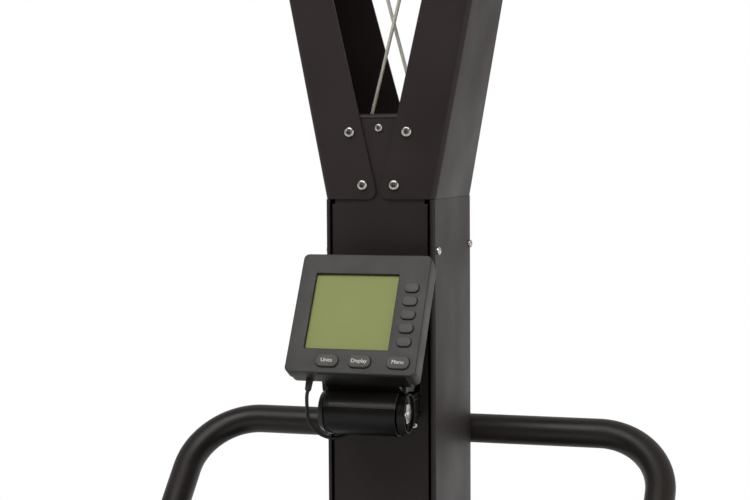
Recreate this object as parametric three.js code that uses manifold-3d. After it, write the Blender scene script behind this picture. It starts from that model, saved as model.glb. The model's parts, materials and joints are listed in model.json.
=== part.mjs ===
// Ski trainer machine: a standing frame with two splayed arms, a caged fan wheel between them,
// two pull cords with handles, elastic return cords that cross in the V, and a monitor on a tilting arm.
// Millimetres. +X is the user's right, +Y is away from the user, +Z is up, the floor is z = 0.
import * as THREE from 'three';
import { mergeVertices } from 'three/addons/utils/BufferGeometryUtils.js';
import Module from 'manifold-3d';

const wasm = await Module();
wasm.setup();
const weldDistance = 1e-4;

// Driving dimensions of the whole machine
const seat = 0.3;                  // gap left where two pieces touch
const overrun = 5;                 // how far a cutting tool runs past the face it cuts
const sheet = 3;                   // wall of the column and arm sheet
const columnWidth = 135;
const columnDepth = 180;
const columnBend = 7;              // outer radius of the column's folded corners
const jointHeight = 1260;          // floor to the seam between column and arms
const armLength = 900;
const armSplay = 0.197;            // sideways lean of an arm's outer wall per unit of height
const armTaper = 0.06;             // how much shallower an arm gets per unit of height
const platformWidth = 600;
const platformLength = 1270;
const columnSetback = 160;         // rear edge of the platform to the back of the column
const cageBelowTop = 27;           // arm top to the cage's rim
const cageRadius = 205;
const cageThickness = 124;
const cordDiameter = 4;

// Places worked out from them
const columnHalf = columnWidth / 2;
const columnFrontY = platformLength / 2 - columnSetback - columnDepth;
const cordRadius = cordDiameter / 2;
const axleAbove = armLength - cageBelowTop - cageRadius;   // seam to the fan wheel's axle

const finish = (color, roughness, metalness = 0) =>
  new THREE.MeshStandardMaterial({ color, roughness, metalness });
// Counts of flats and steps on round forms
const sides = { cord: 6, pin: 12, round: 16, barrel: 20, cage: 28 };
const cornerSteps = 2;
const foldSteps = 4;

const paint = {
  blackCoat: finish(0x1d1b1a, 0.5, 0.4),
  blackPlastic: finish(0x1b1b1b, 0.55),
  greyPlastic: finish(0x3c3d3a, 0.6),
  keyPlastic: finish(0x4a4b48, 0.6),
  display: finish(0x8f9a6a, 0.3),
  steel: finish(0xb4b6b8, 0.35, 0.9),
  cord: finish(0xa9b0a2, 0.85),
  darkCord: finish(0x1a1a1c, 0.8),
  rubber: finish(0x151515, 0.9),
  deck: finish(0x2a2826, 0.85),
};

// The model's origin is under the middle of everything, wheels included, so the machine is set
// forward of it by half of what the wheels stand out
const wheelRadius = 30;
const wheelClearance = 2;
const model = new THREE.Group();
const machine = new THREE.Group();
machine.position.y = -(2 * wheelRadius + wheelClearance) / 2;
model.add(machine);
const head = new THREE.Group();    // its origin is on the column's front plane at the arm seam
head.position.set(0, columnFrontY, jointHeight);
machine.add(head);

function addPiece(parent, name, geometry, material) {
  const mesh = new THREE.Mesh(geometry, material);
  mesh.name = name;
  parent.add(mesh);
  return mesh;
}

// Solids: closed meshes joined and cut
function solidOf(geometry) {
  const bare = geometry.index ? geometry.toNonIndexed() : geometry.clone();
  for (const name of Object.keys(bare.attributes)) {
    if (name !== 'position') bare.deleteAttribute(name);
  }
  const welded = mergeVertices(bare, weldDistance);
  const vertProperties = new Float32Array(welded.attributes.position.array);
  const triVerts = new Uint32Array(welded.index.array);
  return new wasm.Manifold(new wasm.Mesh({ numProp: 3, vertProperties, triVerts }));
}

function geometryOf(solid) {
  const mesh = solid.getMesh();
  const geometry = new THREE.BufferGeometry();
  geometry.setAttribute('position', new THREE.BufferAttribute(new Float32Array(mesh.vertProperties), 3));
  geometry.setIndex(new THREE.BufferAttribute(new Uint32Array(mesh.triVerts), 1));
  return geometry;
}

function join(...geometries) {
  return geometryOf(geometries.map(solidOf).reduce((sum, next) => sum.add(next)));
}

function cut(geometry, ...tools) {
  return geometryOf(tools.map(solidOf).reduce((rest, tool) => rest.subtract(tool), solidOf(geometry)));
}

// Mirrors a shape to the other side of the machine and keeps its faces pointing out
function mirrored(geometry) {
  const copy = geometry.clone();
  const places = copy.attributes.position;
  for (let i = 0; i < places.count; i++) places.setX(i, -places.getX(i));
  const source = copy.index ? Array.from(copy.index.array) : [...Array(places.count).keys()];
  const flipped = [];
  for (let i = 0; i < source.length; i += 3) flipped.push(source[i], source[i + 2], source[i + 1]);
  copy.setIndex(flipped);
  return copy;
}

// A box between two corners
function boxBetween([x0, y0, z0], [x1, y1, z1]) {
  const box = new THREE.BoxGeometry(x1 - x0, y1 - y0, z1 - z0);
  box.translate((x0 + x1) / 2, (y0 + y1) / 2, (z0 + z1) / 2);
  return box;
}

// A cylinder along X, Y or Z from one value on that axis to another
function rod(axis, radius, from, to, centre = [0, 0], flats = sides.round) {
  const cylinder = new THREE.CylinderGeometry(radius, radius, Math.abs(to - from), flats);
  const middle = (from + to) / 2;
  if (axis === 'x') cylinder.rotateZ(-Math.PI / 2).translate(middle, centre[0], centre[1]);
  if (axis === 'y') cylinder.translate(centre[0], middle, centre[1]);
  if (axis === 'z') cylinder.rotateX(Math.PI / 2).translate(centre[0], centre[1], middle);
  return cylinder;
}

// A closed profile of [distance along X, radius] points turned round the X axis
function turned(profile, flats) {
  const closed = [...profile, profile[0]].map(([along, radius]) => new THREE.Vector2(radius, along));
  const lathe = new THREE.LatheGeometry(closed, flats);
  return geometryOf(solidOf(lathe.rotateZ(-Math.PI / 2)));
}

function outline(points) {
  return new THREE.Shape(points.map(([a, b]) => new THREE.Vector2(a, b)));
}

// A rectangle with round corners, centred on a place
function roundRect(width, height, radius, centre = [0, 0], Kind = THREE.Shape) {
  const [cx, cy] = centre;
  const x = width / 2 - radius;
  const y = height / 2 - radius;
  const shape = new Kind();
  shape.moveTo(cx - x, cy - y - radius);
  shape.lineTo(cx + x, cy - y - radius);
  shape.absarc(cx + x, cy - y, radius, -Math.PI / 2, 0, false);
  shape.absarc(cx + x, cy + y, radius, 0, Math.PI / 2, false);
  shape.absarc(cx - x, cy + y, radius, Math.PI / 2, Math.PI, false);
  shape.absarc(cx - x, cy - y, radius, Math.PI, 1.5 * Math.PI, false);
  return shape;
}

// Extrudes an XY outline upwards, an XZ outline along Y, or a YZ outline along X, from one value to another
function extrudeZ(shape, from, to, curveSegments = 4) {
  const geometry = new THREE.ExtrudeGeometry(shape, { depth: to - from, bevelEnabled: false, curveSegments });
  return geometry.translate(0, 0, from);
}
function extrudeY(shape, from, to, curveSegments = 4) {
  return extrudeZ(shape, 0, to - from, curveSegments).rotateX(Math.PI / 2).translate(0, to, 0);
}
function extrudeX(shape, from, to, curveSegments = 4) {
  const geometry = extrudeZ(shape, 0, to - from, curveSegments);
  return geometry.rotateZ(Math.PI / 2).rotateY(Math.PI / 2).translate(from, 0, 0);
}

// A closed body through level rings that have the same number of points
function loft(rings) {
  const count = rings[0].length;
  const places = rings.flat(2);
  const faces = [];
  for (let r = 0; r + 1 < rings.length; r++) {
    for (let i = 0; i < count; i++) {
      const a = r * count + i;
      const b = r * count + (i + 1) % count;
      faces.push(a, b, b + count, a, b + count, a + count);
    }
  }
  const last = (rings.length - 1) * count;
  const flat = rings[0].map(([x, y]) => new THREE.Vector2(x, y));
  for (const [a, b, c] of THREE.ShapeUtils.triangulateShape(flat, [])) faces.push(a, c, b);
  const top = rings.at(-1).map(([x, y]) => new THREE.Vector2(x, y));
  for (const [a, b, c] of THREE.ShapeUtils.triangulateShape(top, [])) faces.push(last + a, last + b, last + c);
  const geometry = new THREE.BufferGeometry();
  geometry.setAttribute('position', new THREE.Float32BufferAttribute(places, 3));
  geometry.setIndex(faces);
  return geometry;
}

// Points on an arc, from one angle to another, both included
function arc([cx, cy], radius, from, to, steps) {
  return Array.from({ length: steps + 1 }, (_, i) => {
    const angle = from + (to - from) * i / steps;
    return [cx + radius * Math.cos(angle), cy + radius * Math.sin(angle)];
  });
}

// Corners of a regular polygon
function circle(radius, flats) {
  return arc([0, 0], radius, 0, 2 * Math.PI, flats).slice(0, flats);
}

// A route whose steps fall on its own points, so that bends can have close steps and straights few
class Route extends THREE.Curve {
  constructor(points) {
    super();
    this.points = points;
  }
  getPoint(share) {
    const place = share * (this.points.length - 1);
    const index = Math.min(Math.floor(place + 1e-6), this.points.length - 2);
    return this.points[index].clone().lerp(this.points[index + 1], place - index);
  }
  getPointAt(share) {
    return this.getPoint(share);
  }
  getTangentAt(share) {
    const index = Math.round(share * (this.points.length - 1));
    const before = this.points[Math.max(index - 1, 0)];
    const after = this.points[Math.min(index + 1, this.points.length - 1)];
    return after.clone().sub(before).normalize();
  }
}

// A round cord or tube through a list of places
function cordAlong(points, radius, flats = sides.cord) {
  const section = outline(circle(radius, flats));
  const extrudePath = new Route(points);
  return new THREE.ExtrudeGeometry(section, { steps: points.length - 1, bevelEnabled: false, extrudePath });
}

// The line that leaves circle 1 on one side and meets circle 2 on the other side.
// Circles are [y, z, radius], circle 1 is the upper one, and side +1 touches it on its +y side.
function crossTangent([y1, z1, r1], [y2, z2, r2], side) {
  const dy = y2 - y1;
  const dz = z2 - z1;
  const heading = Math.atan2(dz, dy);
  const normal = heading + side * Math.acos((r1 + r2) / Math.hypot(dy, dz));
  const touch1 = [y1 + r1 * Math.cos(normal), z1 + r1 * Math.sin(normal)];
  const touch2 = [y2 - r2 * Math.cos(normal), z2 - r2 * Math.sin(normal)];
  return { touch1, touch2, normal };
}

// Platform
const footHeight = 12;
const footRadius = 18;
const footFromEnd = 60;
const railHeight = 30;
const railWidth = 40;
const railWall = 2.5;
const deckThickness = 18;
const deckCorner = 25;
const crossRails = 3;
const railBottom = footHeight + seat;
const deckBottom = railBottom + railHeight + seat;
const deckTop = deckBottom + deckThickness;
const platformHalfWidth = platformWidth / 2;
const platformHalfLength = platformLength / 2;
const wheelWidth = 18;
const wheelAxleRadius = 5;
const wheelFloorGap = 3;           // the wheels touch the floor only when the machine is tipped back
const wheelInset = 70;             // platform side to the wheel's middle
const wheelAxleLength = wheelWidth + 4 * wheelClearance;
const earThickness = 6;
const earHalf = 16;

function makePlatform() {
  const deck = extrudeZ(roundRect(platformWidth, platformLength, deckCorner), deckBottom, deckTop);
  addPiece(machine, 'platform_deck', deck, paint.deck);

  const half = [platformHalfWidth - seat, platformHalfLength - seat];
  const rails = extrudeZ(roundRect(2 * half[0], 2 * half[1], deckCorner), railBottom, railBottom + railHeight);
  const bays = [];
  const bayStep = (2 * half[1] - railWidth) / (crossRails + 1);
  for (let i = 0; i <= crossRails; i++) {
    const start = -half[1] + railWidth + i * bayStep;
    bays.push(boxBetween([-half[0] + railWidth, start, railBottom - overrun],
      [half[0] - railWidth, start + bayStep - railWidth, railBottom + railHeight + overrun]));
  }
  const ears = [];
  const wheelY = platformHalfLength + wheelRadius + wheelClearance;
  const wheelZ = wheelRadius + wheelFloorGap;
  for (const side of [-1, 1]) {
    for (const end of [-1, 1]) {
      const middle = side * (platformHalfWidth - wheelInset);
      const inner = middle + end * (wheelWidth / 2 + wheelClearance);
      const outer = inner + end * earThickness;
      const ear = extrudeX(outline([
        [half[1] - overrun, railBottom],
        [wheelY, wheelZ - earHalf],
        ...arc([wheelY, wheelZ], earHalf, -Math.PI / 2, Math.PI / 2, 2 * foldSteps),
        [half[1] - overrun, railBottom + railHeight - earThickness],
      ]), Math.min(inner, outer), Math.max(inner, outer));
      ears.push(ear);
    }
    const middle = side * (platformHalfWidth - wheelInset);
    ears.push(rod('x', wheelAxleRadius, middle - wheelAxleLength / 2, middle + wheelAxleLength / 2,
      [wheelY, wheelZ], sides.pin));
  }
  addPiece(machine, 'platform_frame', join(cut(rails, ...bays), ...ears), paint.blackCoat);

  for (const [sideName, side] of [['left', -1], ['right', 1]]) {
    for (const [endName, end] of [['front', -1], ['rear', 1]]) {
      const foot = rod('z', footRadius, 0, footHeight);
      foot.translate(side * (half[0] - railWidth / 2), end * (platformHalfLength - footFromEnd), 0);
      addPiece(machine, `foot_${endName}_${sideName}`, foot, paint.rubber);
    }
    const bore = wheelAxleRadius + seat;
    const hub = wheelRadius / 3;
    const tread = wheelWidth / 2;
    const web = wheelWidth / 4;
    const wheel = turned([[-tread, bore], [-web, hub], [-web, wheelRadius - web], [-tread, wheelRadius - web],
      [-web, wheelRadius], [web, wheelRadius], [tread, wheelRadius - web], [web, wheelRadius - web], [web, hub],
      [tread, bore]], sides.round);
    const mesh = addPiece(machine, `transport_wheel_${sideName}`, wheel, paint.rubber);
    mesh.position.set(side * (platformHalfWidth - wheelInset), wheelY, wheelZ);
  }
}
makePlatform();

// Column: a folded channel open to the front, with a foot plate, and a set-back front panel
const lipWidth = 8;
const footPlateThickness = 8;
const footPlateMargin = 30;
const panelLap = 2;                 // how far the panel reaches behind the column's lips
const panelHalf = columnHalf - lipWidth + panelLap;
const panelFrontY = sheet + seat;
const panelBackY = panelFrontY + sheet;
const panelAbove = 103;            // how far the front panel stands above the seam
const panelFold = 6.7;
const panelShelf = 24;
const panelNotch = 5;              // each side of the panel is this much narrower between the arms
const panelNotchBelow = 6;
const cableHoleRadius = 5;
const cableHole = [-22, -272];
const footPlateTop = deckTop + seat + footPlateThickness;

function makeColumn() {
  const bend = columnBend;
  const inside = columnBend - sheet;
  const x = columnHalf - bend;
  const rear = columnDepth - bend;
  const channel = outline([
    [columnHalf - lipWidth, 0],
    ...arc([x, bend], bend, -Math.PI / 2, 0, foldSteps),
    ...arc([x, rear], bend, 0, Math.PI / 2, foldSteps),
    ...arc([-x, rear], bend, Math.PI / 2, Math.PI, foldSteps),
    ...arc([-x, bend], bend, Math.PI, 1.5 * Math.PI, foldSteps),
    [-columnHalf + lipWidth, 0],
    [-columnHalf + lipWidth, sheet],
    ...arc([-x, bend], inside, 1.5 * Math.PI, Math.PI, foldSteps),
    ...arc([-x, rear], inside, Math.PI, Math.PI / 2, foldSteps),
    ...arc([x, rear], inside, Math.PI / 2, 0, foldSteps),
    ...arc([x, bend], inside, 0, -Math.PI / 2, foldSteps),
    [columnHalf - lipWidth, sheet],
  ]);
  const channelBottom = footPlateTop - jointHeight - sheet / 2;
  const wall = extrudeZ(channel, channelBottom, -seat);
  const footPlate = extrudeZ(roundRect(columnWidth + 2 * footPlateMargin, columnDepth + 2 * footPlateMargin,
    footPlateMargin / 2, [0, columnDepth / 2]), footPlateTop - footPlateThickness - jointHeight,
  footPlateTop - jointHeight);
  addPiece(head, 'leg_column', join(wall, footPlate), paint.blackCoat);

  const outer = panelFold;
  const inner = panelFold - sheet;
  const foldY = panelFrontY + panelFold;
  const foldZ = panelAbove - panelFold;
  const profile = outline([
    [panelFrontY, footPlateTop - jointHeight + seat],
    [panelFrontY, foldZ],
    ...arc([foldY, foldZ], outer, Math.PI, Math.PI / 2, foldSteps),
    [panelFrontY + panelShelf, panelAbove],
    [panelFrontY + panelShelf, panelAbove - sheet],
    ...arc([foldY, foldZ], inner, Math.PI / 2, Math.PI, foldSteps),
    [panelBackY, footPlateTop - jointHeight + seat],
  ].reverse());
  const panel = extrudeX(profile, -panelHalf, panelHalf);
  const hole = rod('y', cableHoleRadius, panelFrontY - overrun, panelBackY + overrun, cableHole);
  const notches = [-1, 1].map((side) => boxBetween(
    [side * panelHalf - panelNotch, 0, -panelNotchBelow],
    [side * panelHalf + panelNotch, panelFrontY + panelShelf + overrun, panelAbove + overrun]));
  addPiece(head, 'leg_front_panel', cut(panel, hole, ...notches), paint.blackCoat);
}
makeColumn();

// Arms: a mirror pair of channels, open inwards, that lean apart and get shallower towards the top
const armBase = 66;                // half width of the machine across the arms at the seam
const armBend = 9;
const flangeBase = 2;              // inner edge of the front flange at the seam, from the middle
const flangeTop = 34.3;            // width of the front flange at the arm's top
const rearFlangeBase = -6.9;
const rearFlangeTop = 17.1;
const rearFlangeGap = 3;           // half the gap left between the two rear flanges low down
const flangeCorner = 13;           // round lower corner of the front flange
const notchLength = 112;           // top stretch where the front flange is cut back for the pulley
const notchSlope = 12;
const tabDepth = 85;               // tongue that reaches down into the column
const tabFrontY = 22;
const tabRearY = 158;
const tabTop = 8;
const armSteps = 3;

const armOuter = (z) => armBase + armSplay * z;
const armWall = sheet * Math.hypot(1, armSplay);
const armInner = (z) => armOuter(z) - armWall;
const armRear = (z) => columnDepth - armTaper * z;
const flangeSplay = (armOuter(armLength) - flangeTop - flangeBase) / armLength;
const rearFlangeSplay = (armOuter(armLength) - rearFlangeTop - rearFlangeBase) / armLength;

function armRing(z) {
  const outer = armOuter(z);
  const rear = armRear(z);
  const bend = armBend;
  const inside = armBend - sheet;
  const low = Math.min(z, flangeCorner);
  const corner = flangeCorner - Math.sqrt(flangeCorner ** 2 - (flangeCorner - low) ** 2);
  const notched = z > armLength - notchLength;
  const front = notched ? outer - armBend : flangeBase + flangeSplay * z + corner;
  const back = Math.max(rearFlangeGap, rearFlangeBase + rearFlangeSplay * z);
  return [
    [front, 0],
    ...arc([outer - bend, bend], bend, -Math.PI / 2, 0, armSteps),
    ...arc([outer - bend, rear - bend], bend, 0, Math.PI / 2, armSteps),
    [back, rear],
    [back, rear - sheet],
    ...arc([outer - bend, rear - bend], inside, Math.PI / 2, 0, armSteps),
    ...arc([outer - bend, bend], inside, 0, -Math.PI / 2, armSteps),
    [front, sheet],
  ].map(([x, y]) => [x, y, z]);
}

function makeArms() {
  const cornerShares = [0, 0.1, 0.4, 1];
  const levels = [
    ...cornerShares.map((share) => share * flangeCorner),
    (rearFlangeGap - rearFlangeBase) / rearFlangeSplay,
    armLength - notchLength,
    armLength - notchLength + notchSlope,
    armLength,
  ];
  const channel = loft(levels.map(armRing));
  const tabOuter = columnHalf - sheet - seat;
  const tab = boxBetween([tabOuter - sheet, tabFrontY, -tabDepth], [tabOuter, tabRearY, tabTop]);
  const right = join(channel, tab);
  addPiece(head, 'right_arm', right, paint.blackCoat);
  addPiece(head, 'left_arm', mirrored(right), paint.blackCoat);
}
makeArms();

// Tie between the arm tops
const braceHeight = 20;
const braceDepth = 26;
const braceDrop = 4;              // arm top to the tie's top
const braceSlotShare = 0.62;
const braceSlotHeight = 8;

function makeBrace() {
  const top = armLength - braceDrop;
  const bottom = top - braceHeight;
  const rearY = armRear(top) - armBend;
  const shape = outline([
    [-armInner(bottom) + seat, bottom],
    [armInner(bottom) - seat, bottom],
    [armInner(top) - seat, top],
    [-armInner(top) + seat, top],
  ]);
  shape.holes.push(roundRect(2 * braceSlotShare * armInner(bottom), braceSlotHeight, braceSlotHeight / 2,
    [0, (top + bottom) / 2], THREE.Path));
  addPiece(head, 'top_brace', extrudeY(shape, rearY - braceDepth, rearY), paint.blackCoat);
}
makeBrace();

// Hoop: a round bar behind the column that slopes down to the platform's sides
const hoopRadius = 19.05;
const hoopBend = 87;
const hoopSlope = THREE.MathUtils.degToRad(45);
const hoopDrop = 308.5;            // seam to the bar's centre line
const hoopBehind = 26;             // column back to the bar's centre line
const hoopEndHeight = 34;          // floor to the end of each leg's centre line
const hoopSides = 12;
const hoopSteps = 6;
const clampHalfWidth = 45;
const clampHalfHeight = 46;
const clampCap = 28;

function makeHoop() {
  const legX = platformHalfWidth + hoopRadius + seat;
  const down = new THREE.Vector3(0, -Math.cos(hoopSlope), -Math.sin(hoopSlope));
  const barY = columnDepth + hoopBehind;
  const legLength = (jointHeight - hoopDrop - hoopEndHeight) / Math.sin(hoopSlope);
  const bendCentre = new THREE.Vector3(legX - hoopBend, barY, -hoopDrop).addScaledVector(down, hoopBend);
  const half = arc([0, 0], hoopBend, Math.PI / 2, 0, hoopSteps).map(([across, back]) =>
    bendCentre.clone().add(new THREE.Vector3(across, 0, 0)).addScaledVector(down, -back));
  half.push(new THREE.Vector3(legX, barY, -hoopDrop).addScaledVector(down, legLength));
  const other = half.map((p) => new THREE.Vector3(-p.x, p.y, p.z)).reverse();
  addPiece(head, 'hoop_brace', cordAlong([...other, ...half], hoopRadius, hoopSides), paint.blackCoat);

  const plate = boxBetween([-clampHalfWidth, columnDepth + seat, -hoopDrop - clampHalfHeight],
    [clampHalfWidth, barY - hoopRadius / 2, -hoopDrop + clampHalfHeight]);
  const cap = extrudeX(outline([
    [barY - hoopRadius, -hoopDrop - clampCap],
    ...arc([barY, -hoopDrop], clampCap, -Math.PI / 2, Math.PI / 2, 2 * foldSteps),
    [barY - hoopRadius, -hoopDrop + clampCap],
  ]), -clampHalfWidth, clampHalfWidth);
  const bore = rod('x', hoopRadius + seat, -clampHalfWidth - overrun, clampHalfWidth + overrun,
    [barY, -hoopDrop], sides.barrel);
  addPiece(head, 'hoop_clamp', cut(join(plate, cap), bore), paint.blackCoat);
}
makeHoop();

// Fan wheel and the two drums that drive it, all turning on one fixed axle
const axleY = 78;
const axleRadius = 8.5;
const axleEndGap = 3;
const fanClearance = 17;           // fan wheel's edge to the cage's rim
const fanRootRadius = 60;
const fanHubRadius = 24;
const fanDiscHalf = 1.5;
const fanBlades = 12;
const fanBladeHalf = 42;           // half the blades' width along the axle
const fanBladeThickness = 1.6;
const fanRingWidth = 10;
const cordFromWall = 34.54;        // arm's inner face to the drive cord beside it
const grooveSpacing = 41;          // drive groove's middle to the return groove's middle
const drivePitch = 28;             // radius at which the drive cord winds
const returnPitch = 20;
const drumFlange = 36;
const drumFlangeThickness = 3;
const driveGroove = 24;
const returnGroove = 16;
const seatRadius = 24;
const seatBoss = 15;
const seatFlange = 8;

const driveCore = drivePitch - cordRadius - seat;
const returnCore = returnPitch - cordRadius - seat;
const cageHalf = cageThickness / 2;
const fanRadius = cageRadius - fanClearance;
const drumFromMiddle = armInner(axleAbove) - cordFromWall;   // machine's middle to the drive groove's middle
const returnFromMiddle = drumFromMiddle - grooveSpacing;

function makeFan() {
  const hub = fanBladeHalf + 4 * fanDiscHalf;
  const body = turned([[-hub, axleRadius + seat], [-hub, fanHubRadius], [-fanDiscHalf, fanHubRadius],
    [-fanDiscHalf, fanRadius - fanRingWidth], [-fanRingWidth / 2, fanRadius - fanRingWidth],
    [-fanRingWidth / 2, fanRadius], [fanRingWidth / 2, fanRadius], [fanRingWidth / 2, fanRadius - fanRingWidth],
    [fanDiscHalf, fanRadius - fanRingWidth], [fanDiscHalf, fanHubRadius], [hub, fanHubRadius],
    [hub, axleRadius + seat]], sides.barrel);
  const root = fanRootRadius;
  const tip = fanRadius - fanRingWidth / 2;
  const blade = extrudeZ(outline([
    [-fanBladeHalf, root + fanRingWidth], [-fanDiscHalf, root], [fanDiscHalf, root],
    [fanBladeHalf, root + fanRingWidth], [fanBladeHalf, tip], [-fanBladeHalf, tip],
  ]), -fanBladeThickness / 2, fanBladeThickness / 2);
  const blades = [];
  for (let i = 0; i < fanBlades; i++) blades.push(blade.clone().rotateX(2 * Math.PI * i / fanBlades));
  const mesh = addPiece(head, 'flywheel_fan', join(body, ...blades), paint.steel);
  mesh.position.set(0, axleY, axleAbove);

  const end = armInner(axleAbove) - axleEndGap;
  addPiece(head, 'flywheel_axle', rod('x', axleRadius, -end, end, [axleY, axleAbove]), paint.steel);
}
makeFan();

function makeDrums() {
  const bore = axleRadius + seat;
  const drive = [drumFromMiddle - driveGroove / 2, drumFromMiddle + driveGroove / 2];
  const back = [returnFromMiddle - returnGroove / 2, returnFromMiddle + returnGroove / 2];
  const side = drumFlangeThickness;
  const neck = (axleRadius + returnCore) / 2;
  const drum = turned([
    [back[0] - side, bore], [back[0] - side, returnCore + 3 * cordRadius], [back[0], returnCore + 3 * cordRadius],
    [back[0], returnCore], [back[1], returnCore], [back[1], returnCore + 3 * cordRadius],
    [back[1] + side, returnCore + 3 * cordRadius], [back[1] + side, neck], [drive[0] - side, neck],
    [drive[0] - side, drumFlange], [drive[0], drumFlange], [drive[0], driveCore], [drive[1], driveCore],
    [drive[1], drumFlange], [drive[1] + side, drumFlange], [drive[1] + side, bore],
  ], sides.pin);
  drum.translate(0, axleY, axleAbove);
  addPiece(head, 'drive_drum_right', drum, paint.blackPlastic);
  addPiece(head, 'drive_drum_left', mirrored(drum), paint.blackPlastic);

  // Each axle seat lies on the inside of an arm's leaning wall, so its face is cut to that lean
  const start = drive[1] + side + seat;
  const reach = armInner(axleAbove + 2 * seatRadius);
  const flangeStart = armInner(axleAbove - 1.5 * seatRadius) - seatFlange;
  const boss = rod('x', seatBoss, start, reach, [axleY, axleAbove]);
  const flange = rod('x', seatRadius, flangeStart, reach, [axleY, axleAbove]);
  const hole = rod('x', axleRadius + seat, start - overrun, armInner(axleAbove) - seat, [axleY, axleAbove],
    sides.pin);
  const lean = Math.atan(armSplay);
  const size = 4 * seatRadius;
  const beyond = boxBetween([0, -size, -size], [size, size, size]).rotateY(lean);
  beyond.translate(armInner(axleAbove) - seat, axleY, axleAbove);
  const axleSeat = cut(join(boss, flange), beyond, hole);
  addPiece(head, 'axle_seat_right', axleSeat, paint.steel);
  addPiece(head, 'axle_seat_left', mirrored(axleSeat), paint.steel);
}
makeDrums();

// Cage: two dished side shells, a slotted rim band and a shutter disc with a lever
const shellSheet = 2;
const shellCorner = 12;
const rimSheet = 2;
const rimOverlap = 12;
const shellFlange = 26;
const hubHole = 40;
const slotCount = 15;
const slotInner = 66;
const slotMargin = 10;             // slots' outer ends to the shutter's edge
const slotShare = 0.5;             // share of each pitch that is open
const rimSlotCount = 18;
const rimSlotShare = 0.55;
const shutterInner = 56;
const shutterMargin = 57;          // shutter's edge to the cage's rim
const shutterSheet = 2;
const shutterGap = 0.6;
const shutterWindows = 10;
const leverLength = 68;
const leverWidth = 16;
const leverAngle = THREE.MathUtils.degToRad(205);
const bracketHeight = 28;
const bracketInset = 6;            // shutter's edge to the bracket pad
const bracketWidth = 40;
const bracketSheet = 4;
const shutterOuter = cageRadius - shutterMargin;
const slotOuter = shutterOuter - slotMargin;

// A wedge-shaped slot between two radii, about the X axis
function sectorSlot(inner, outer, angle, share, pitch, from, to) {
  const half = pitch * share / 2;
  const shape = outline([...arc([0, 0], inner, angle - half, angle + half, 1),
    ...arc([0, 0], outer, angle + half, angle - half, 1)]);
  return extrudeX(shape, from, to);
}

function makeCage() {
  const flangeRadius = cageRadius - rimSheet - seat;
  const face = cageHalf;
  const shellProfile = [
    [face, hubHole], [face - shellSheet, hubHole], [face - shellSheet, flangeRadius - shellCorner],
    [face - shellCorner, flangeRadius - shellSheet], [face - shellFlange, flangeRadius - shellSheet],
    [face - shellFlange, flangeRadius],
    ...arc([flangeRadius - shellCorner, face - shellCorner], shellCorner, 0, Math.PI / 2, cornerSteps)
      .map(([radius, along]) => [along, radius]),
  ];
  const blank = turned(shellProfile, sides.cage);
  const pitch = 2 * Math.PI / slotCount;
  const slots = Array.from({ length: slotCount }, (_, i) =>
    sectorSlot(slotInner, slotOuter, i * pitch, slotShare, pitch, face - shellCorner, face + overrun));
  const windowPitch = 2 * Math.PI / shutterWindows;
  const openings = Array.from({ length: shutterWindows }, (_, i) => sectorSlot(slotInner, slotOuter,
    i * windowPitch, slotShare, windowPitch, face - shellCorner, face + overrun));
  const right = cut(blank, ...openings);
  const left = cut(blank, ...slots);
  const place = [0, axleY, axleAbove];
  addPiece(head, 'cage_right_shell', right, paint.blackCoat).position.set(...place);
  addPiece(head, 'cage_left_shell', mirrored(left), paint.blackCoat).position.set(...place);

  const rimHalf = face - shellFlange + rimOverlap;
  const band = turned([[-rimHalf, cageRadius - rimSheet], [-rimHalf, cageRadius], [rimHalf, cageRadius],
    [rimHalf, cageRadius - rimSheet]], sides.cage);
  const rimPitch = 2 * Math.PI / rimSlotCount;
  const gapHalf = face - shellFlange - shellSheet;
  const rimSlots = Array.from({ length: rimSlotCount }, (_, i) => {
    const width = rimPitch * rimSlotShare * cageRadius;
    const low = [-gapHalf, cageRadius - overrun, -width / 2];
    const high = [gapHalf, cageRadius + overrun, width / 2];
    return boxBetween(low, high).rotateX((i + 0.5) * rimPitch);
  });
  addPiece(head, 'cage_rim', cut(band, ...rimSlots), paint.blackCoat).position.set(...place);

  const near = face + shutterGap;
  const far = near + shutterSheet;
  const disc = turned([[near, shutterInner], [near, shutterOuter], [far, shutterOuter], [far, shutterInner]],
    sides.cage);
  const windows = Array.from({ length: shutterWindows }, (_, i) =>
    sectorSlot(slotInner, slotOuter, i * windowPitch, slotShare, windowPitch, near - overrun, far + overrun));
  const lever = boxBetween([near, shutterOuter - overrun, -leverWidth / 2],
    [far, shutterOuter + leverLength, leverWidth / 2]).rotateX(leverAngle);
  const knob = boxBetween([near, shutterOuter + leverLength - leverWidth, -leverWidth / 2],
    [far + leverWidth, shutterOuter + leverLength, leverWidth / 2]).rotateX(leverAngle);
  addPiece(head, 'damper_disc', join(cut(disc, ...windows), lever, knob), paint.greyPlastic)
    .position.set(...place);

  // A bent strap from each shell's flat edge out to the arm's leaning wall
  const padBottom = axleAbove + shutterOuter + bracketInset;
  const padTop = padBottom + bracketHeight;
  const inner = face + seat;
  const t = bracketSheet;
  const tWide = t * Math.hypot(1, armSplay);
  const bracketRear = armRear(padTop) - armBend;
  const strap = extrudeY(outline([
    [inner, padBottom], [inner + t, padBottom], [inner + t, padTop - t],
    [armInner(padTop - t) - seat - tWide, padTop - t], [armInner(padBottom) - seat - tWide, padBottom],
    [armInner(padBottom) - seat, padBottom],
    [armInner(padTop) - seat, padTop], [inner, padTop],
  ]), bracketRear - bracketWidth, bracketRear);
  addPiece(head, 'cage_bracket_right', strap, paint.blackCoat);
  addPiece(head, 'cage_bracket_left', mirrored(strap), paint.blackCoat);
}
makeCage();

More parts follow.
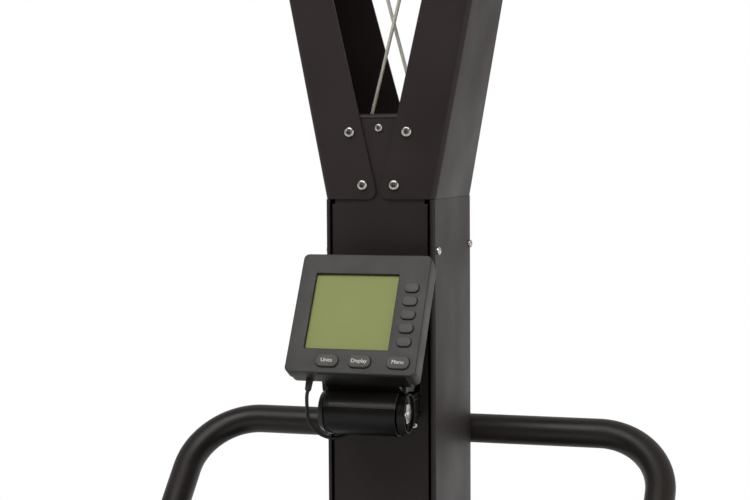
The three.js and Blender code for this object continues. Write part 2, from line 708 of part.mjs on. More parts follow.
// Pulleys at the arm tops, each in a fork bolted to its arm's wall and leaning with it
const pulleyPitch = 30;            // radius of the drive cord's centre line on the top pulley
const pulleyFlange = 34;
const pulleyWidth = 14;
const pulleyGroove = 5;
const pulleyY = -5;
const pulleyDrop = 40;             // arm top to the pulley's axle
const pinRadius = 5;
const forkGap = 1.5;
const forkSheet = 3;
const forkFront = 16;
const forkRear = 46;
const forkHalfHeight = 17;
const forkBossFront = 14;
const armLean = Math.atan(armSplay);
const pulleyZ = armLength - pulleyDrop;
const pulleyX = drumFromMiddle + armSplay * (pulleyZ - axleAbove);

// A wheel with a V groove that opens from the cord's width to almost the whole rim
function groovedWheel(pitchRadius, flangeRadius, width, groove, bore, flats) {
  const bottom = pitchRadius - cordRadius - seat;
  const half = width / 2;
  const rim = half - seat;
  return turned([[-half, bore], [-half, bottom], [-rim, flangeRadius], [-groove / 2, bottom],
    [groove / 2, bottom], [rim, flangeRadius], [half, bottom], [half, bore]], flats);
}

function makeTopPulleys() {
  const wheel = groovedWheel(pulleyPitch, pulleyFlange, pulleyWidth, pulleyGroove, pinRadius + seat,
    sides.barrel);
  const inner = pulleyWidth / 2 + forkGap;
  const outer = inner + forkSheet;
  const wallAt = (armInner(pulleyZ) - pulleyX) * Math.cos(armLean) - seat;
  const cheekShape = outline([
    ...arc([0, 0], forkFront, Math.PI / 2, 1.5 * Math.PI, 2 * armSteps),
    [forkRear, -forkHalfHeight],
    [forkRear, forkHalfHeight],
  ].reverse());
  const cheeks = [-1, 1].map((side) =>
    extrudeX(cheekShape, Math.min(side * inner, side * outer), Math.max(side * inner, side * outer)));
  const bridge = boxBetween([-outer, forkRear - forkSheet, -forkHalfHeight], [outer, forkRear, forkHalfHeight]);
  const boss = boxBetween([outer - forkSheet / 2, forkBossFront, -forkHalfHeight],
    [wallAt, forkRear, forkHalfHeight]);
  const pin = rod('x', pinRadius, -outer - forkSheet / 2, outer + forkSheet / 2, [0, 0], sides.pin);
  const fork = join(...cheeks, bridge, boss, pin);
  for (const geometry of [wheel, fork]) geometry.rotateY(armLean).translate(pulleyX, pulleyY, pulleyZ);
  addPiece(head, 'top_pulley_right', wheel, paint.blackPlastic);
  addPiece(head, 'top_pulley_left', mirrored(wheel), paint.blackPlastic);
  addPiece(head, 'pulley_bracket_right', fork, paint.blackCoat);
  addPiece(head, 'pulley_bracket_left', mirrored(fork), paint.blackCoat);
}
makeTopPulleys();

// Guide pulleys inside the column's mouth, one in front of their plate and one behind it
const guideFromSide = 24.8;        // column's side to a guide pulley's axle
const guideBelow = 20;
const guidePitch = 15;
const guideFlange = 17.5;
const guideWidth = 10;
const guideGroove = 5;
const guidePlateSheet = 4;
const guidePlateTop = -2;
const guidePlateHeight = 66;
const guideGap = 1.5;
const frontCordY = axleY - returnPitch;
const crossingGap = 17;            // front to back between the two cords where they cross
const guideX = columnHalf - guideFromSide;

// A return cord leans by the slope that takes it from its drum to the far side of a guide pulley's groove
const cordFall = axleAbove + guideBelow;
const cordShift = returnFromMiddle + guideX;
const crossSlope = (cordFall * cordShift + guidePitch * Math.sqrt(cordFall ** 2 + cordShift ** 2 - guidePitch ** 2))
  / (cordFall ** 2 - guidePitch ** 2);
const crossingAbove = axleAbove - returnFromMiddle / crossSlope;   // seam to where the return cords cross
const rearCordSlope = crossingGap / (axleAbove - crossingAbove);
const rearGuideY = frontCordY + rearCordSlope * cordFall;

function makeGuides() {
  const wheel = groovedWheel(guidePitch, guideFlange, guideWidth, guideGroove, pinRadius + seat, sides.round)
    .rotateZ(Math.PI / 2);
  const places = { left: [-guideX, frontCordY], right: [guideX, rearGuideY] };
  for (const [side, [x, y]] of Object.entries(places)) {
    addPiece(head, `guide_pulley_${side}`, wheel, paint.blackPlastic).position.set(x, y, -guideBelow);
  }
  const plateFront = (frontCordY + rearGuideY - guidePlateSheet) / 2;
  const plateRear = plateFront + guidePlateSheet;
  const half = columnHalf - 2 * (sheet + seat);
  const plate = boxBetween([-half, plateFront, guidePlateTop - guidePlateHeight],
    [half, plateRear, guidePlateTop]);
  const frontPin = rod('y', pinRadius, frontCordY - guideWidth / 2 - guideGap, plateRear - guidePlateSheet / 2,
    [-guideX, -guideBelow], sides.pin);
  const rearPin = rod('y', pinRadius, plateFront + guidePlateSheet / 2, rearGuideY + guideWidth / 2 + guideGap,
    [guideX, -guideBelow], sides.pin);
  const collars = [
    rod('y', pinRadius + 2 * guideGap, frontCordY + guideWidth / 2 + seat, plateFront + guidePlateSheet / 2,
      [-guideX, -guideBelow], sides.pin),
    rod('y', pinRadius + 2 * guideGap, plateRear - guidePlateSheet / 2, rearGuideY - guideWidth / 2 - seat,
      [guideX, -guideBelow], sides.pin),
  ];
  addPiece(head, 'guide_plate', join(plate, frontPin, rearPin, ...collars), paint.steel);
}
makeGuides();

// Cords. The elastic return cords start on the drums, cross in the V, turn over the guide pulleys and
// run down the column to their anchor. The drive cords run from the drums over the top pulleys.
const anchorAbovePlate = 60;
const anchorWidth = 26;
const anchorHeight = 18;
const cordDrop = 150;              // top pulley to the handle
const wrapSteps = 12;
const returnSteps = 10;

function returnCordPoints(drumSide, guideY) {
  const turn = Math.atan(crossSlope);
  const anchorZ = footPlateTop - jointHeight + anchorAbovePlate + anchorHeight + seat;
  const points = [];
  for (let i = 0; i <= returnSteps; i++) {
    const share = i / returnSteps;
    const z = axleAbove - share * (axleAbove + guideBelow - guidePitch * Math.sin(turn));
    const y = frontCordY + (guideY - frontCordY) * (axleAbove - z) / (axleAbove + guideBelow);
    points.push(new THREE.Vector3(drumSide * crossSlope * (z - crossingAbove), y, z));
  }
  const outside = guideX + guidePitch;
  for (const share of [0.5, 1]) {
    const angle = turn * (1 - share);
    points.push(new THREE.Vector3(-drumSide * (guideX + guidePitch * Math.cos(angle)), guideY,
      -guideBelow + guidePitch * Math.sin(angle)));
  }
  for (const share of [0.25, 0.5, 0.75, 1]) {
    points.push(new THREE.Vector3(-drumSide * outside, guideY, -guideBelow + share * (anchorZ + guideBelow)));
  }
  return points;
}

function makeCords() {
  addPiece(head, 'return_cord_right', cordAlong(returnCordPoints(1, frontCordY), cordRadius), paint.cord);
  addPiece(head, 'return_cord_left', cordAlong(returnCordPoints(-1, rearGuideY), cordRadius), paint.cord);

  const anchorBottom = footPlateTop - jointHeight + anchorAbovePlate;
  const half = columnHalf - sheet - seat;
  const anchorFront = frontCordY - anchorWidth / 2;
  const anchorRear = rearGuideY + anchorWidth / 2;
  addPiece(head, 'cord_anchor', boxBetween([-half, anchorFront, anchorBottom],
    [half, anchorRear, anchorBottom + anchorHeight]), paint.blackCoat);

  // In the pulley's own leaning plane: v is forward and back, w is along the arm
  const drumW = (axleAbove - pulleyZ) / Math.cos(armLean);
  const { touch2, normal } = crossTangent([pulleyY, 0, pulleyPitch], [axleY, drumW, drivePitch], 1);
  const place = (v, w) => new THREE.Vector3(pulleyX + w * Math.sin(armLean), v, pulleyZ + w * Math.cos(armLean));
  const run = arc([pulleyY, 0], pulleyPitch, normal, Math.PI, wrapSteps);
  const start = new THREE.Vector2(...touch2);
  const leave = new THREE.Vector2(...run[0]);
  const straight = [0, 0.25, 0.5, 0.75].map((share) => start.clone().lerp(leave, share).toArray());
  const drive = [...straight, ...run].map(([v, w]) => place(v, w));
  const driveCord = cordAlong(drive, cordRadius);
  addPiece(head, 'drive_cord_right', driveCord, paint.cord);
  addPiece(head, 'drive_cord_left', mirrored(driveCord), paint.cord);

  const dropY = pulleyY - pulleyPitch;
  const drop = rod('z', cordRadius, pulleyZ - cordDrop, pulleyZ - cordRadius, [pulleyX, dropY], sides.cord);
  addPiece(head, 'handle_cord_right', drop, paint.cord);
  addPiece(head, 'handle_cord_left', mirrored(drop), paint.cord);
}
makeCords();

// Handles: moulded pole grips with a collar on top, finger swells and a heel
const gripLength = 165;
const gripHalfWidth = 15;
const gripHalfDepth = 18;
const gripSwells = 4;
const gripSwellDepth = 1.6;
const gripSwellFrom = 0.12;        // shares of the grip's length, from its foot up
const gripSwellTo = 0.72;
const gripHeel = 0.28;             // extra size at the foot
const gripHeelReach = 0.1;
const gripShoulder = 0.35;         // extra size at the collar
const gripShoulderAt = 0.86;
const gripShoulderReach = 0.09;
const gripClosing = 0.17;          // stretch over which the top closes
const gripFoot = 0.05;
const gripFootReach = 0.08;
const gripLeast = 0.17;            // smallest size of an end
const gripRings = 12;
const gripSides = 10;

// Size of the grip near an end: a quarter ellipse over the end's reach
const gripEnd = (past) => Math.sqrt(Math.max(1 - Math.max(past, 0) ** 2, gripLeast ** 2));

function makeHandles() {
  const rings = [];
  for (let i = 0; i <= gripRings; i++) {
    const share = i / gripRings;
    const z = -gripLength * (1 - share);
    const heel = gripHeel * Math.exp(-((share / gripHeelReach) ** 2));
    const shoulder = gripShoulder * Math.exp(-(((share - gripShoulderAt) / gripShoulderReach) ** 2));
    const close = gripEnd((share - gripShoulderAt) / gripClosing);
    const foot = gripEnd((gripFoot - share) / gripFootReach);
    const size = (1 + heel + shoulder) * close * foot;
    const swells = share > gripSwellFrom && share < gripSwellTo;
    const swell = swells ? gripSwellDepth * Math.cos(2 * Math.PI * gripSwells * share) : 0;
    rings.push(circle(1, gripSides).map(([x, y]) => {
      const front = y < 0 ? swell * y * y : 0;
      return [x * gripHalfWidth * size, y * (gripHalfDepth * size + front), z];
    }));
  }
  const grip = loft(rings);
  for (const [name, side] of [['left', -1], ['right', 1]]) {
    addPiece(head, `handle_${name}`, grip, paint.blackPlastic)
      .position.set(side * pulleyX, pulleyY - pulleyPitch, pulleyZ - cordDrop - seat);
  }
}
makeHandles();

// Monitor: two moulded case halves, a window and eight keys, tilted back on its arm.
// In its own frame x is across the face, y is into the case and z is up the face.
const monitorTilt = THREE.MathUtils.degToRad(30.3);
const faceWidth = 158;
const faceHeight = 152.5;
const faceCorner = 9;
const faceDrop = 129.8;            // seam to the middle of the face
const faceForward = 86.1;          // column front to the middle of the face
const frontDepth = 18;
const backDepth = 22;
const backInset = 12;              // back case's rear face inside the front case's edge
const backShoulder = 7;            // the same, where its rear edge turns
const backEdge = 3;                // depth of that turned edge
const backStep = 1;
const backWall = 6;                // straight stretch of the back case next to the front case
const caseWall = 2.6;
const faceThickness = 4;
const faceBevel = 3;
const bevelShare = 0.3;            // where the bevel turns, as a share of its size
const sideStep = 2.2;
const windowWidth = 100.9;
const windowHeight = 95;
const windowCentre = [-7.9, 1.8];
const windowCorner = 3;
const windowBevel = 3;
const lensMargin = 3;
const lensThickness = 2;
const keyGap = 0.5;
const keyProud = 1.8;
const keyFlange = 1.4;
const keyFlangeThickness = 1.6;
const keySkirt = 0.1;
const keyEdge = 0.7;               // rounding of a key's front edge
const smallKey = { width: 18.5, height: 13, radius: 5.6 };
const wideKey = { width: 28, height: 16.5, radius: 7.4 };
const keyColumnX = 60.4;
const keyColumnMiddle = -0.9;
const keyPitch = 17.2;
const keyColumnCount = 5;
const keyRowZ = -61.2;
const keyRowXShares = [-0.179, 0.069, 0.362];  // shares of the face's width

function keyPlaces() {
  const column = Array.from({ length: keyColumnCount }, (_, i) => ({
    name: `side_key_${i + 1}`,
    key: smallKey,
    at: [keyColumnX, keyColumnMiddle + ((keyColumnCount - 1) / 2 - i) * keyPitch],
  }));
  const row = keyRowXShares.map((share, i) => ({
    name: `lower_key_${i + 1}`,
    key: wideKey,
    at: [share * faceWidth, keyRowZ],
  }));
  return [...column, ...row];
}

const monitor = new THREE.Group();
monitor.position.set(0, -faceForward, -faceDrop);
monitor.rotation.x = -monitorTilt;
head.add(monitor);

// Ring of a rounded rectangle in the face's own frame, at a depth into the case
function faceRing(inset, depth, centre = [0, 0], width = faceWidth, height = faceHeight, radius = faceCorner) {
  const w = width / 2 - inset;
  const h = height / 2 - inset;
  const r = Math.max(radius - inset / 2, 1);
  const corners = [[w - r, -h + r, -Math.PI / 2], [w - r, h - r, 0], [-w + r, h - r, Math.PI / 2],
    [-w + r, -h + r, Math.PI]];
  const places = corners.flatMap(([x, z, start]) =>
    arc([centre[0] + x, centre[1] + z], r, start, start + Math.PI / 2, cornerSteps));
  return places.map(([x, z]) => [x, z, -depth]);
}

// Lofts face rings; depths run from the back to the face
function faceLoft(rings) {
  return loft(rings).rotateX(Math.PI / 2);
}

function makeMonitor() {
  const shell = faceLoft([faceRing(sideStep, frontDepth), faceRing(0, frontDepth - sideStep),
    faceRing(0, faceBevel), faceRing(faceBevel * bevelShare, faceBevel * bevelShare), faceRing(faceBevel, 0)]);
  const pocket = faceLoft([faceRing(caseWall + sideStep, frontDepth + overrun),
    faceRing(caseWall + sideStep, faceThickness)]);
  const [wx, wz] = windowCentre;
  const window = faceLoft([
    faceRing(0, faceThickness + overrun, windowCentre, windowWidth, windowHeight, windowCorner),
    faceRing(0, windowBevel, windowCentre, windowWidth, windowHeight, windowCorner),
    faceRing(-windowBevel / 2, 0, windowCentre, windowWidth, windowHeight, windowCorner),
    faceRing(-windowBevel / 2, -overrun, windowCentre, windowWidth, windowHeight, windowCorner),
  ]);
  const holes = keyPlaces().map(({ key, at }) =>
    extrudeY(roundRect(key.width + 2 * keyGap, key.height + 2 * keyGap, key.radius + keyGap, at),
      -overrun, faceThickness + overrun, cornerSteps));
  addPiece(monitor, 'monitor_front_case', cut(shell, pocket, window, ...holes), paint.greyPlastic);

  const lensFront = faceThickness + seat;
  addPiece(monitor, 'monitor_window', extrudeY(roundRect(windowWidth + 2 * lensMargin,
    windowHeight + 2 * lensMargin, windowCorner, [wx, wz]), lensFront, lensFront + lensThickness), paint.display);

  for (const { name, key, at } of keyPlaces()) {
    const keyRing = (inset, depth) => faceRing(inset, depth, at, key.width, key.height, key.radius);
    const flangeBack = lensFront + keyFlangeThickness;
    const keySolid = faceLoft([keyRing(-keyFlange, flangeBack), keyRing(-keyFlange, lensFront),
      keyRing(0, lensFront - keySkirt), keyRing(0, keyEdge - keyProud), keyRing(keyEdge, -keyProud)]);
    addPiece(monitor, name, keySolid, paint.keyPlastic);
  }

  const backStart = frontDepth + seat;
  const back = faceLoft([faceRing(backInset, frontDepth + backDepth),
    faceRing(backShoulder, frontDepth + backDepth - backEdge), faceRing(sideStep + backStep, backStart + backWall),
    faceRing(sideStep, backStart)]);
  addPiece(monitor, 'monitor_back_case', back, paint.greyPlastic);
}
makeMonitor();

// Monitor arm: a bracket with two end caps on the column, and a neck on a split sleeve between them
const barrelForward = 60;
const barrelDrop = 249.5;
const barrelRadius = 26.6;
const barrelHalf = 52;
const sleeveRadius = 28.2;         // the sleeve stands a little proud of the end caps
const sleeveHalf = 44.5;
const lowerSleeveHalf = 42.5;
const capRecess = 4.2;
const capRim = 4;
const boltRadius = 6;
const nutRadius = 13;
const nutHeight = 5.5;
const hexagon = 6;
const bracketPlateHalf = 52;
const bracketPlateTop = -214;
const bracketPlateBottom = -262;
const bracketPlateSheet = 5;
const cheekFromMiddle = 45;
const cheekSheet = 6.5;
const neckHalf = 43;
const neckUpperHalf = 49;
const neckBottom = -219;           // the neck's rear is wide from here up, clear of the cheeks
const neckClearance = 1.2;         // its front reaches down round the end caps with this gap
const neckReach = Math.PI * 2 / 3; // where it ends on them, seen from the right
const neckHugSteps = 3;
const neckFrontShare = 0.5;        // shares of the barrel's radius
const neckRearShare = 0.75;
const neckRootShare = 0.4;
const neckDepth = 12;              // thickness of the neck where it meets the case
const neckPadDepth = 8;
const neckPadLow = -58;            // face middle to the pad's ends, along the face
const neckPadHigh = -14;
const neckPadSlope = 4;
const neckTop = -28;

function makeMonitorArm() {
  const axis = [-barrelForward, -barrelDrop];
  const plateRear = panelFrontY - seat;
  const plate = boxBetween([-bracketPlateHalf, plateRear - bracketPlateSheet, bracketPlateBottom],
    [bracketPlateHalf, plateRear, bracketPlateTop]);
  const caps = [];
  const recesses = [];
  for (const side of [-1, 1]) {
    const from = side * (sleeveHalf + seat);
    const to = side * barrelHalf;
    const floor = side * (barrelHalf - capRecess);
    caps.push(rod('x', barrelRadius, Math.min(from, to), Math.max(from, to), axis, sides.barrel));
    recesses.push(rod('x', barrelRadius - capRim, Math.min(floor, to + side * overrun),
      Math.max(floor, to + side * overrun), axis));
    const cheek = extrudeX(outline([
      [axis[0], axis[1] - barrelRadius + capRim], [plateRear - bracketPlateSheet / 2, bracketPlateBottom],
      [plateRear - bracketPlateSheet / 2, bracketPlateTop - 2 * capRim], [axis[0], axis[1] + barrelRadius - capRim],
    ]), side * cheekFromMiddle + Math.min(0, side * cheekSheet),
    side * cheekFromMiddle + Math.max(0, side * cheekSheet));
    caps.push(cheek);
  }
  const boltHole = rod('x', boltRadius + seat, -barrelHalf - overrun, barrelHalf + overrun, axis, sides.pin);
  addPiece(head, 'monitor_bracket', cut(join(plate, ...caps), ...recesses, boltHole), paint.blackPlastic);

  const upper = extrudeX(outline(arc(axis, sleeveRadius, 0, Math.PI, sides.pin)), -sleeveHalf, sleeveHalf);
  const lower = extrudeX(outline(arc(axis, sleeveRadius, Math.PI, 2 * Math.PI, sides.pin)),
    -lowerSleeveHalf, lowerSleeveHalf);
  lower.translate(0, 0, -seat);
  const backY = frontDepth + backDepth + seat;
  const face = (up, depth) => [
    -faceForward + depth * Math.cos(monitorTilt) + up * Math.sin(monitorTilt),
    -faceDrop - depth * Math.sin(monitorTilt) + up * Math.cos(monitorTilt),
  ];
  const neckFront = axis[0] - barrelRadius * neckFrontShare;
  const neckRear = axis[0] + barrelRadius * neckRearShare;
  const neck = extrudeX(outline([
    [neckFront, axis[1] + barrelRadius * neckFrontShare], [neckRear, axis[1] + barrelRadius * neckRootShare],
    [neckRear, neckBottom + cheekSheet], [neckFront, neckBottom + cheekSheet],
  ]), -neckHalf, neckHalf);
  const upperNeck = extrudeX(outline([
    ...arc(axis, barrelRadius + neckClearance, neckReach, Math.PI / 2, neckHugSteps),
    [axis[0] + neckClearance, neckBottom], [neckRear, neckBottom], face(neckTop, backY + neckDepth),
    face(neckTop, backY), face(neckPadLow, backY),
  ]), -neckUpperHalf, neckUpperHalf);
  const pad = extrudeX(outline([face(neckPadLow, backY), face(neckPadLow + neckPadSlope, backY + neckPadDepth),
    face(neckPadHigh - neckPadSlope, backY + neckPadDepth), face(neckPadHigh, backY)]),
  -neckUpperHalf, neckUpperHalf);
  addPiece(head, 'monitor_arm', cut(join(upper, neck, upperNeck, pad), boltHole), paint.blackPlastic);
  addPiece(head, 'pivot_sleeve', cut(lower, boltHole), paint.blackPlastic);

  const nutX = barrelHalf - capRecess + seat;
  const bolt = join(rod('x', boltRadius, -nutX - nutHeight, nutX + nutHeight + 2 * seat, axis, sides.pin),
    rod('x', nutRadius, nutX, nutX + nutHeight, axis, hexagon),
    rod('x', nutRadius, -nutX - nutHeight, -nutX, axis, hexagon));
  addPiece(head, 'pivot_bolt', bolt, paint.steel);
}
makeMonitorArm();

// Monitor cable: out of the case's underside through a moulded boot, under the barrel and into the column
const cableRadius = 1.75;
const cableSteps = 20;
const bootLength = 18;
const bootRadius = 5;
const bootTip = 3.2;
const bootTaperFrom = 0.7;         // share of the boot's length that is straight
const cableStart = 2;              // the cable starts this far inside the boot's tip
const cableStraight = 4;           // and runs straight this far past it
const bootX = -54.5;
const bootDepth = 24.5;
const cableRoute = [[-57.5, -110, -240], [-59, -100, -257], [-52, -84, -273], [-40, -66, -281.5], [-32, -48, -281],
  [-26, -28, -277], [-22.5, -10, -273]];

function makeCable() {
  const bootTop = -faceHeight / 2 + sideStep;
  const at = (down) => new THREE.Vector3(bootX, bootDepth, bootTop - down)
    .applyAxisAngle(new THREE.Vector3(1, 0, 0), -monitorTilt)
    .add(new THREE.Vector3(0, -faceForward, -faceDrop));
  const end = new THREE.Vector3(cableHole[0], panelBackY + 2 * cableRadius, cableHole[1]);
  const curve = new THREE.CatmullRomCurve3([at(bootLength - cableStart), at(bootLength + cableStraight),
    ...cableRoute.map((p) => new THREE.Vector3(...p)), end], false, 'centripetal');
  const cable = cordAlong(curve.getSpacedPoints(cableSteps), cableRadius);
  const bootRing = (radius, down) => circle(radius, sides.pin).map(([x, y]) => [x, y, -down]);
  const boot = loft([bootRing(bootTip, bootLength), bootRing(bootRadius, bootLength * bootTaperFrom),
    bootRing(bootRadius, 0)]);
  boot.translate(bootX, bootDepth, bootTop).rotateX(-monitorTilt).translate(0, -faceForward, -faceDrop);
  addPiece(head, 'monitor_cable', join(cable, boot), paint.rubber);
}
makeCable();

export default model;
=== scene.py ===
# Ski trainer machine: the finished look of every piece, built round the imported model.
import json
import math

import bmesh
import bpy
import numpy as np
from mathutils import Matrix, Vector


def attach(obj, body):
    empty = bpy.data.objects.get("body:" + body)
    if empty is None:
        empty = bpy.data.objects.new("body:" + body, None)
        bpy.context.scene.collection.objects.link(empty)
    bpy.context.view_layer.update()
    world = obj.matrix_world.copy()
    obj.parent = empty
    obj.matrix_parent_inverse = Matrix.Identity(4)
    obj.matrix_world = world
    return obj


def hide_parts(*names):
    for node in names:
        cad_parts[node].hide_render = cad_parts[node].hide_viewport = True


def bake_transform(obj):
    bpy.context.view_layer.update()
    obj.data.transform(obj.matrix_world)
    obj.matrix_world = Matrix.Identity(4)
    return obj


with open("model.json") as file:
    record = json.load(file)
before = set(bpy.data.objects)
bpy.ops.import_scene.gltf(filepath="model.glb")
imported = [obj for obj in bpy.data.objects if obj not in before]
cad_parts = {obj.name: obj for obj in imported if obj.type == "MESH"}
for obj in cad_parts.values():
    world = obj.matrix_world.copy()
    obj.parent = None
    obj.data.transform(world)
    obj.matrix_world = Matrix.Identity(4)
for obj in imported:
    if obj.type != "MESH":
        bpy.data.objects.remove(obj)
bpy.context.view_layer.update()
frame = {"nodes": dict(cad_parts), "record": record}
mm = 0.001

# Places that several pieces share, in millimetres in the model's frame
machine = {
    "frontY": 264.0,         # column's front plane
    "seamZ": 1260.0,         # seam between column and arms
    "columnWidth": 137.4,
    "columnDepth": 180.0,
    "sheet": 3.0,
    "armLength": 900.0,
    "axle": (342.0, 1928.0),     # y and z of the fan wheel's axle
    "cord": 4.5,
    "splay": 0.197,          # sideways lean of the model's arms over one up
}
bothSides = (("Left", -1), ("Right", 1))


def say(text):
    print("scene:", text)


# Camera, solved from the photograph's straight edges
cameraSet = {"focalPixels": 1698.66, "imageWidth": 750.0, "sensor": 36.0,
             "yaw": 17.244, "pitch": 3.493, "roll": -0.353, "place": (602.42, -1695.56, 1323.78)}


# Looks along (-sin yaw cos pitch, cos yaw cos pitch, -sin pitch), then rolls about that line
def makeCamera():
    yaw, pitch, roll = (math.radians(cameraSet[key]) for key in ("yaw", "pitch", "roll"))
    right = Vector((math.cos(yaw), math.sin(yaw), 0))
    ahead = Vector((-math.sin(yaw) * math.cos(pitch), math.cos(yaw) * math.cos(pitch), -math.sin(pitch)))
    up = right.cross(ahead)
    turnedRight = math.cos(roll) * right + math.sin(roll) * up
    turnedUp = -math.sin(roll) * right + math.cos(roll) * up
    data = bpy.data.cameras.new("photoCamera")
    data.sensor_width = cameraSet["sensor"]
    data.lens = cameraSet["focalPixels"] / cameraSet["imageWidth"] * cameraSet["sensor"]
    data.clip_end = 50
    camera = bpy.data.objects.new("photoCamera", data)
    camera.matrix_world = Matrix((turnedRight, turnedUp, -ahead)).transposed().to_4x4()
    camera.location = Vector(cameraSet["place"]) * mm
    bpy.context.collection.objects.link(camera)
    bpy.context.scene.camera = camera


makeCamera()
say("camera placed")


# A piece from its points and faces, in metres
def meshObject(name, points, faces, smooth=True):
    mesh = bpy.data.meshes.new(name)
    mesh.from_pydata(points, [], faces)
    mesh.update()
    if smooth:
        mesh.shade_smooth()
    piece = bpy.data.objects.new(name, mesh)
    bpy.context.collection.objects.link(piece)
    return piece


# A surface on a grid of rows and columns; columns close on themselves, and rows do where asked.
# Cell (i, j) joins points (i, j), (i, j+1), (i+1, j+1) and (i+1, j). Ends can be closed with one face each.
def gridSurface(name, grid, closeRows=False, capEnds=False, closeColumns=True):
    rows, columns = grid.shape[:2]
    i = np.arange(rows if closeRows else rows - 1)[:, None]
    j = np.arange(columns if closeColumns else columns - 1)[None, :]
    nextI = (i + 1) % rows
    nextJ = (j + 1) % columns
    cells = np.stack([i * columns + j, i * columns + nextJ, nextI * columns + nextJ, nextI * columns + j], -1)
    faces = cells.reshape(-1, 4).tolist()
    if capEnds:
        faces.append(list(range(columns))[::-1])
        faces.append(list(range((rows - 1) * columns, rows * columns)))
    return meshObject(name, grid.reshape(-1, 3).tolist(), faces)


# Merges doubles and makes every face point outwards
def tidyMesh(piece):
    work = bmesh.new()
    work.from_mesh(piece.data)
    bmesh.ops.remove_doubles(work, verts=work.verts, dist=1e-6)
    bmesh.ops.recalc_face_normals(work, faces=work.faces)
    work.to_mesh(piece.data)
    work.free()
    return piece


# Axis turned to X, Y or Z: (along, across, up) becomes a place in the model
axisTurns = {
    "x": np.array([[1, 0, 0], [0, 1, 0], [0, 0, 1]], float),
    "y": np.array([[0, 1, 0], [-1, 0, 0], [0, 0, 1]], float),
    "z": np.array([[0, 0, 1], [1, 0, 0], [0, 1, 0]], float),
}


# A closed profile of [along, radius] rows turned round an axis: (along, r cos t, r sin t)
def revolve(name, profile, centre, axis="x", segments=64, turn=None):
    profile = np.array(profile, float)
    angle = np.linspace(0, 2 * np.pi, segments, endpoint=False)
    grid = np.empty((len(profile), segments, 3))
    grid[..., 0] = profile[:, :1]
    grid[..., 1] = profile[:, 1:] * np.cos(angle)
    grid[..., 2] = profile[:, 1:] * np.sin(angle)
    grid = grid @ (axisTurns[axis] if turn is None else turn)
    return tidyMesh(gridSurface(name, (grid + np.array(centre)) * mm, closeRows=True))


# Points on an arc, in degrees, as rows of (a, b)
def arcPoints(centre, radius, start, end, steps):
    angle = np.radians(np.linspace(start, end, steps + 1))
    return np.stack([centre[0] + radius * np.cos(angle), centre[1] + radius * np.sin(angle)], -1)


# A loop round a rectangle with round corners, the same number of points in every loop
def roundLoop(width, height, radius, steps=8, centre=(0, 0)):
    radius = max(min(radius, width / 2 - 1e-3, height / 2 - 1e-3), 1e-3)
    x = width / 2 - radius
    y = height / 2 - radius
    cx, cy = centre
    return np.concatenate([
        arcPoints((cx + x, cy - y), radius, -90, 0, steps),
        arcPoints((cx + x, cy + y), radius, 0, 90, steps),
        arcPoints((cx - x, cy + y), radius, 90, 180, steps),
        arcPoints((cx - x, cy - y), radius, 180, 270, steps),
    ])


# A section of (a, b) points carried along a path; b runs along the reference direction as far as it can.
# Each ring lies square to the path: point = place + a * side + b * top, with side = along x reference.
def sweep(name, path, section, reference):
    path = np.array(path, float)
    along = np.gradient(path, axis=0)
    along /= np.linalg.norm(along, axis=1, keepdims=True)
    side = np.cross(along, np.array(reference, float))
    side /= np.linalg.norm(side, axis=1, keepdims=True)
    top = np.cross(side, along)
    section = np.array(section, float)
    grid = path[:, None] + section[None, :, :1] * side[:, None] + section[None, :, 1:] * top[:, None]
    piece = gridSurface(name, grid * mm, capEnds=True)
    addSweepUv(piece, len(section), runAlong(path))
    return tidyMesh(piece)


# Distance from the first point to each point of a path
def runAlong(path):
    return np.concatenate([[0], np.cumsum(np.linalg.norm(np.diff(path, axis=0), axis=1))])


# UV of a swept piece: u is the turn round the section, v is millimetres along the path
def addSweepUv(piece, columns, length):
    layer = piece.data.uv_layers.new(name="along")
    vertex = np.empty(len(piece.data.loops), int)
    piece.data.loops.foreach_get("vertex_index", vertex)
    u = (vertex % columns) / columns
    v = length[vertex // columns]
    starts = np.empty(len(piece.data.polygons), int)
    piece.data.polygons.foreach_get("loop_start", starts)
    sizes = np.empty(len(piece.data.polygons), int)
    piece.data.polygons.foreach_get("loop_total", sizes)
    first = np.repeat(u[starts], sizes)
    wraps = (np.abs(u - first) > 0.5) & np.repeat(sizes == 4, sizes)
    u = np.where(wraps, u + np.sign(first - u), u)
    layer.data.foreach_set("uv", np.stack([u, v], -1).ravel())


# Section of a round cord: a full arc without its last point
def circleSection(radius, sides):
    return arcPoints((0, 0), radius, 0, 360, sides)[:-1]


# A smooth curve through given points: a Catmull-Rom spline, first dense and then in even steps
def smoothPath(points, samples, density=8):
    points = np.array(points, float)
    padded = np.vstack([2 * points[0] - points[1], points, 2 * points[-1] - points[-2]])
    share = np.linspace(0, len(points) - 1 - 1e-9, samples * density)
    index = share.astype(int)
    t = (share - index)[:, None]
    a, b, c, d = (padded[index + k] for k in range(4))
    dense = 0.5 * (2 * b + (c - a) * t + (2 * a - 5 * b + 4 * c - d) * t ** 2
                   + (3 * b - a - 3 * c + d) * t ** 3)
    run = runAlong(dense)
    even = np.linspace(0, run[-1], samples)
    return np.stack([np.interp(even, run, dense[:, k]) for k in range(3)], -1)


# Rounds the edges that turn by more than the angle
def addBevel(piece, width, segments=3, angle=30):
    bevel = piece.modifiers.new("edges", "BEVEL")
    bevel.width = width * mm
    bevel.segments = segments
    bevel.limit_method = "ANGLE"
    bevel.angle_limit = math.radians(angle)
    bevel.harden_normals = True
    bevel.use_clamp_overlap = True


# Shades smooth, apart from edges that turn by more than the angle
def smoothByAngle(piece, angle=35):
    piece.data.shade_smooth()
    piece.data.set_sharp_from_angle(angle=math.radians(angle))


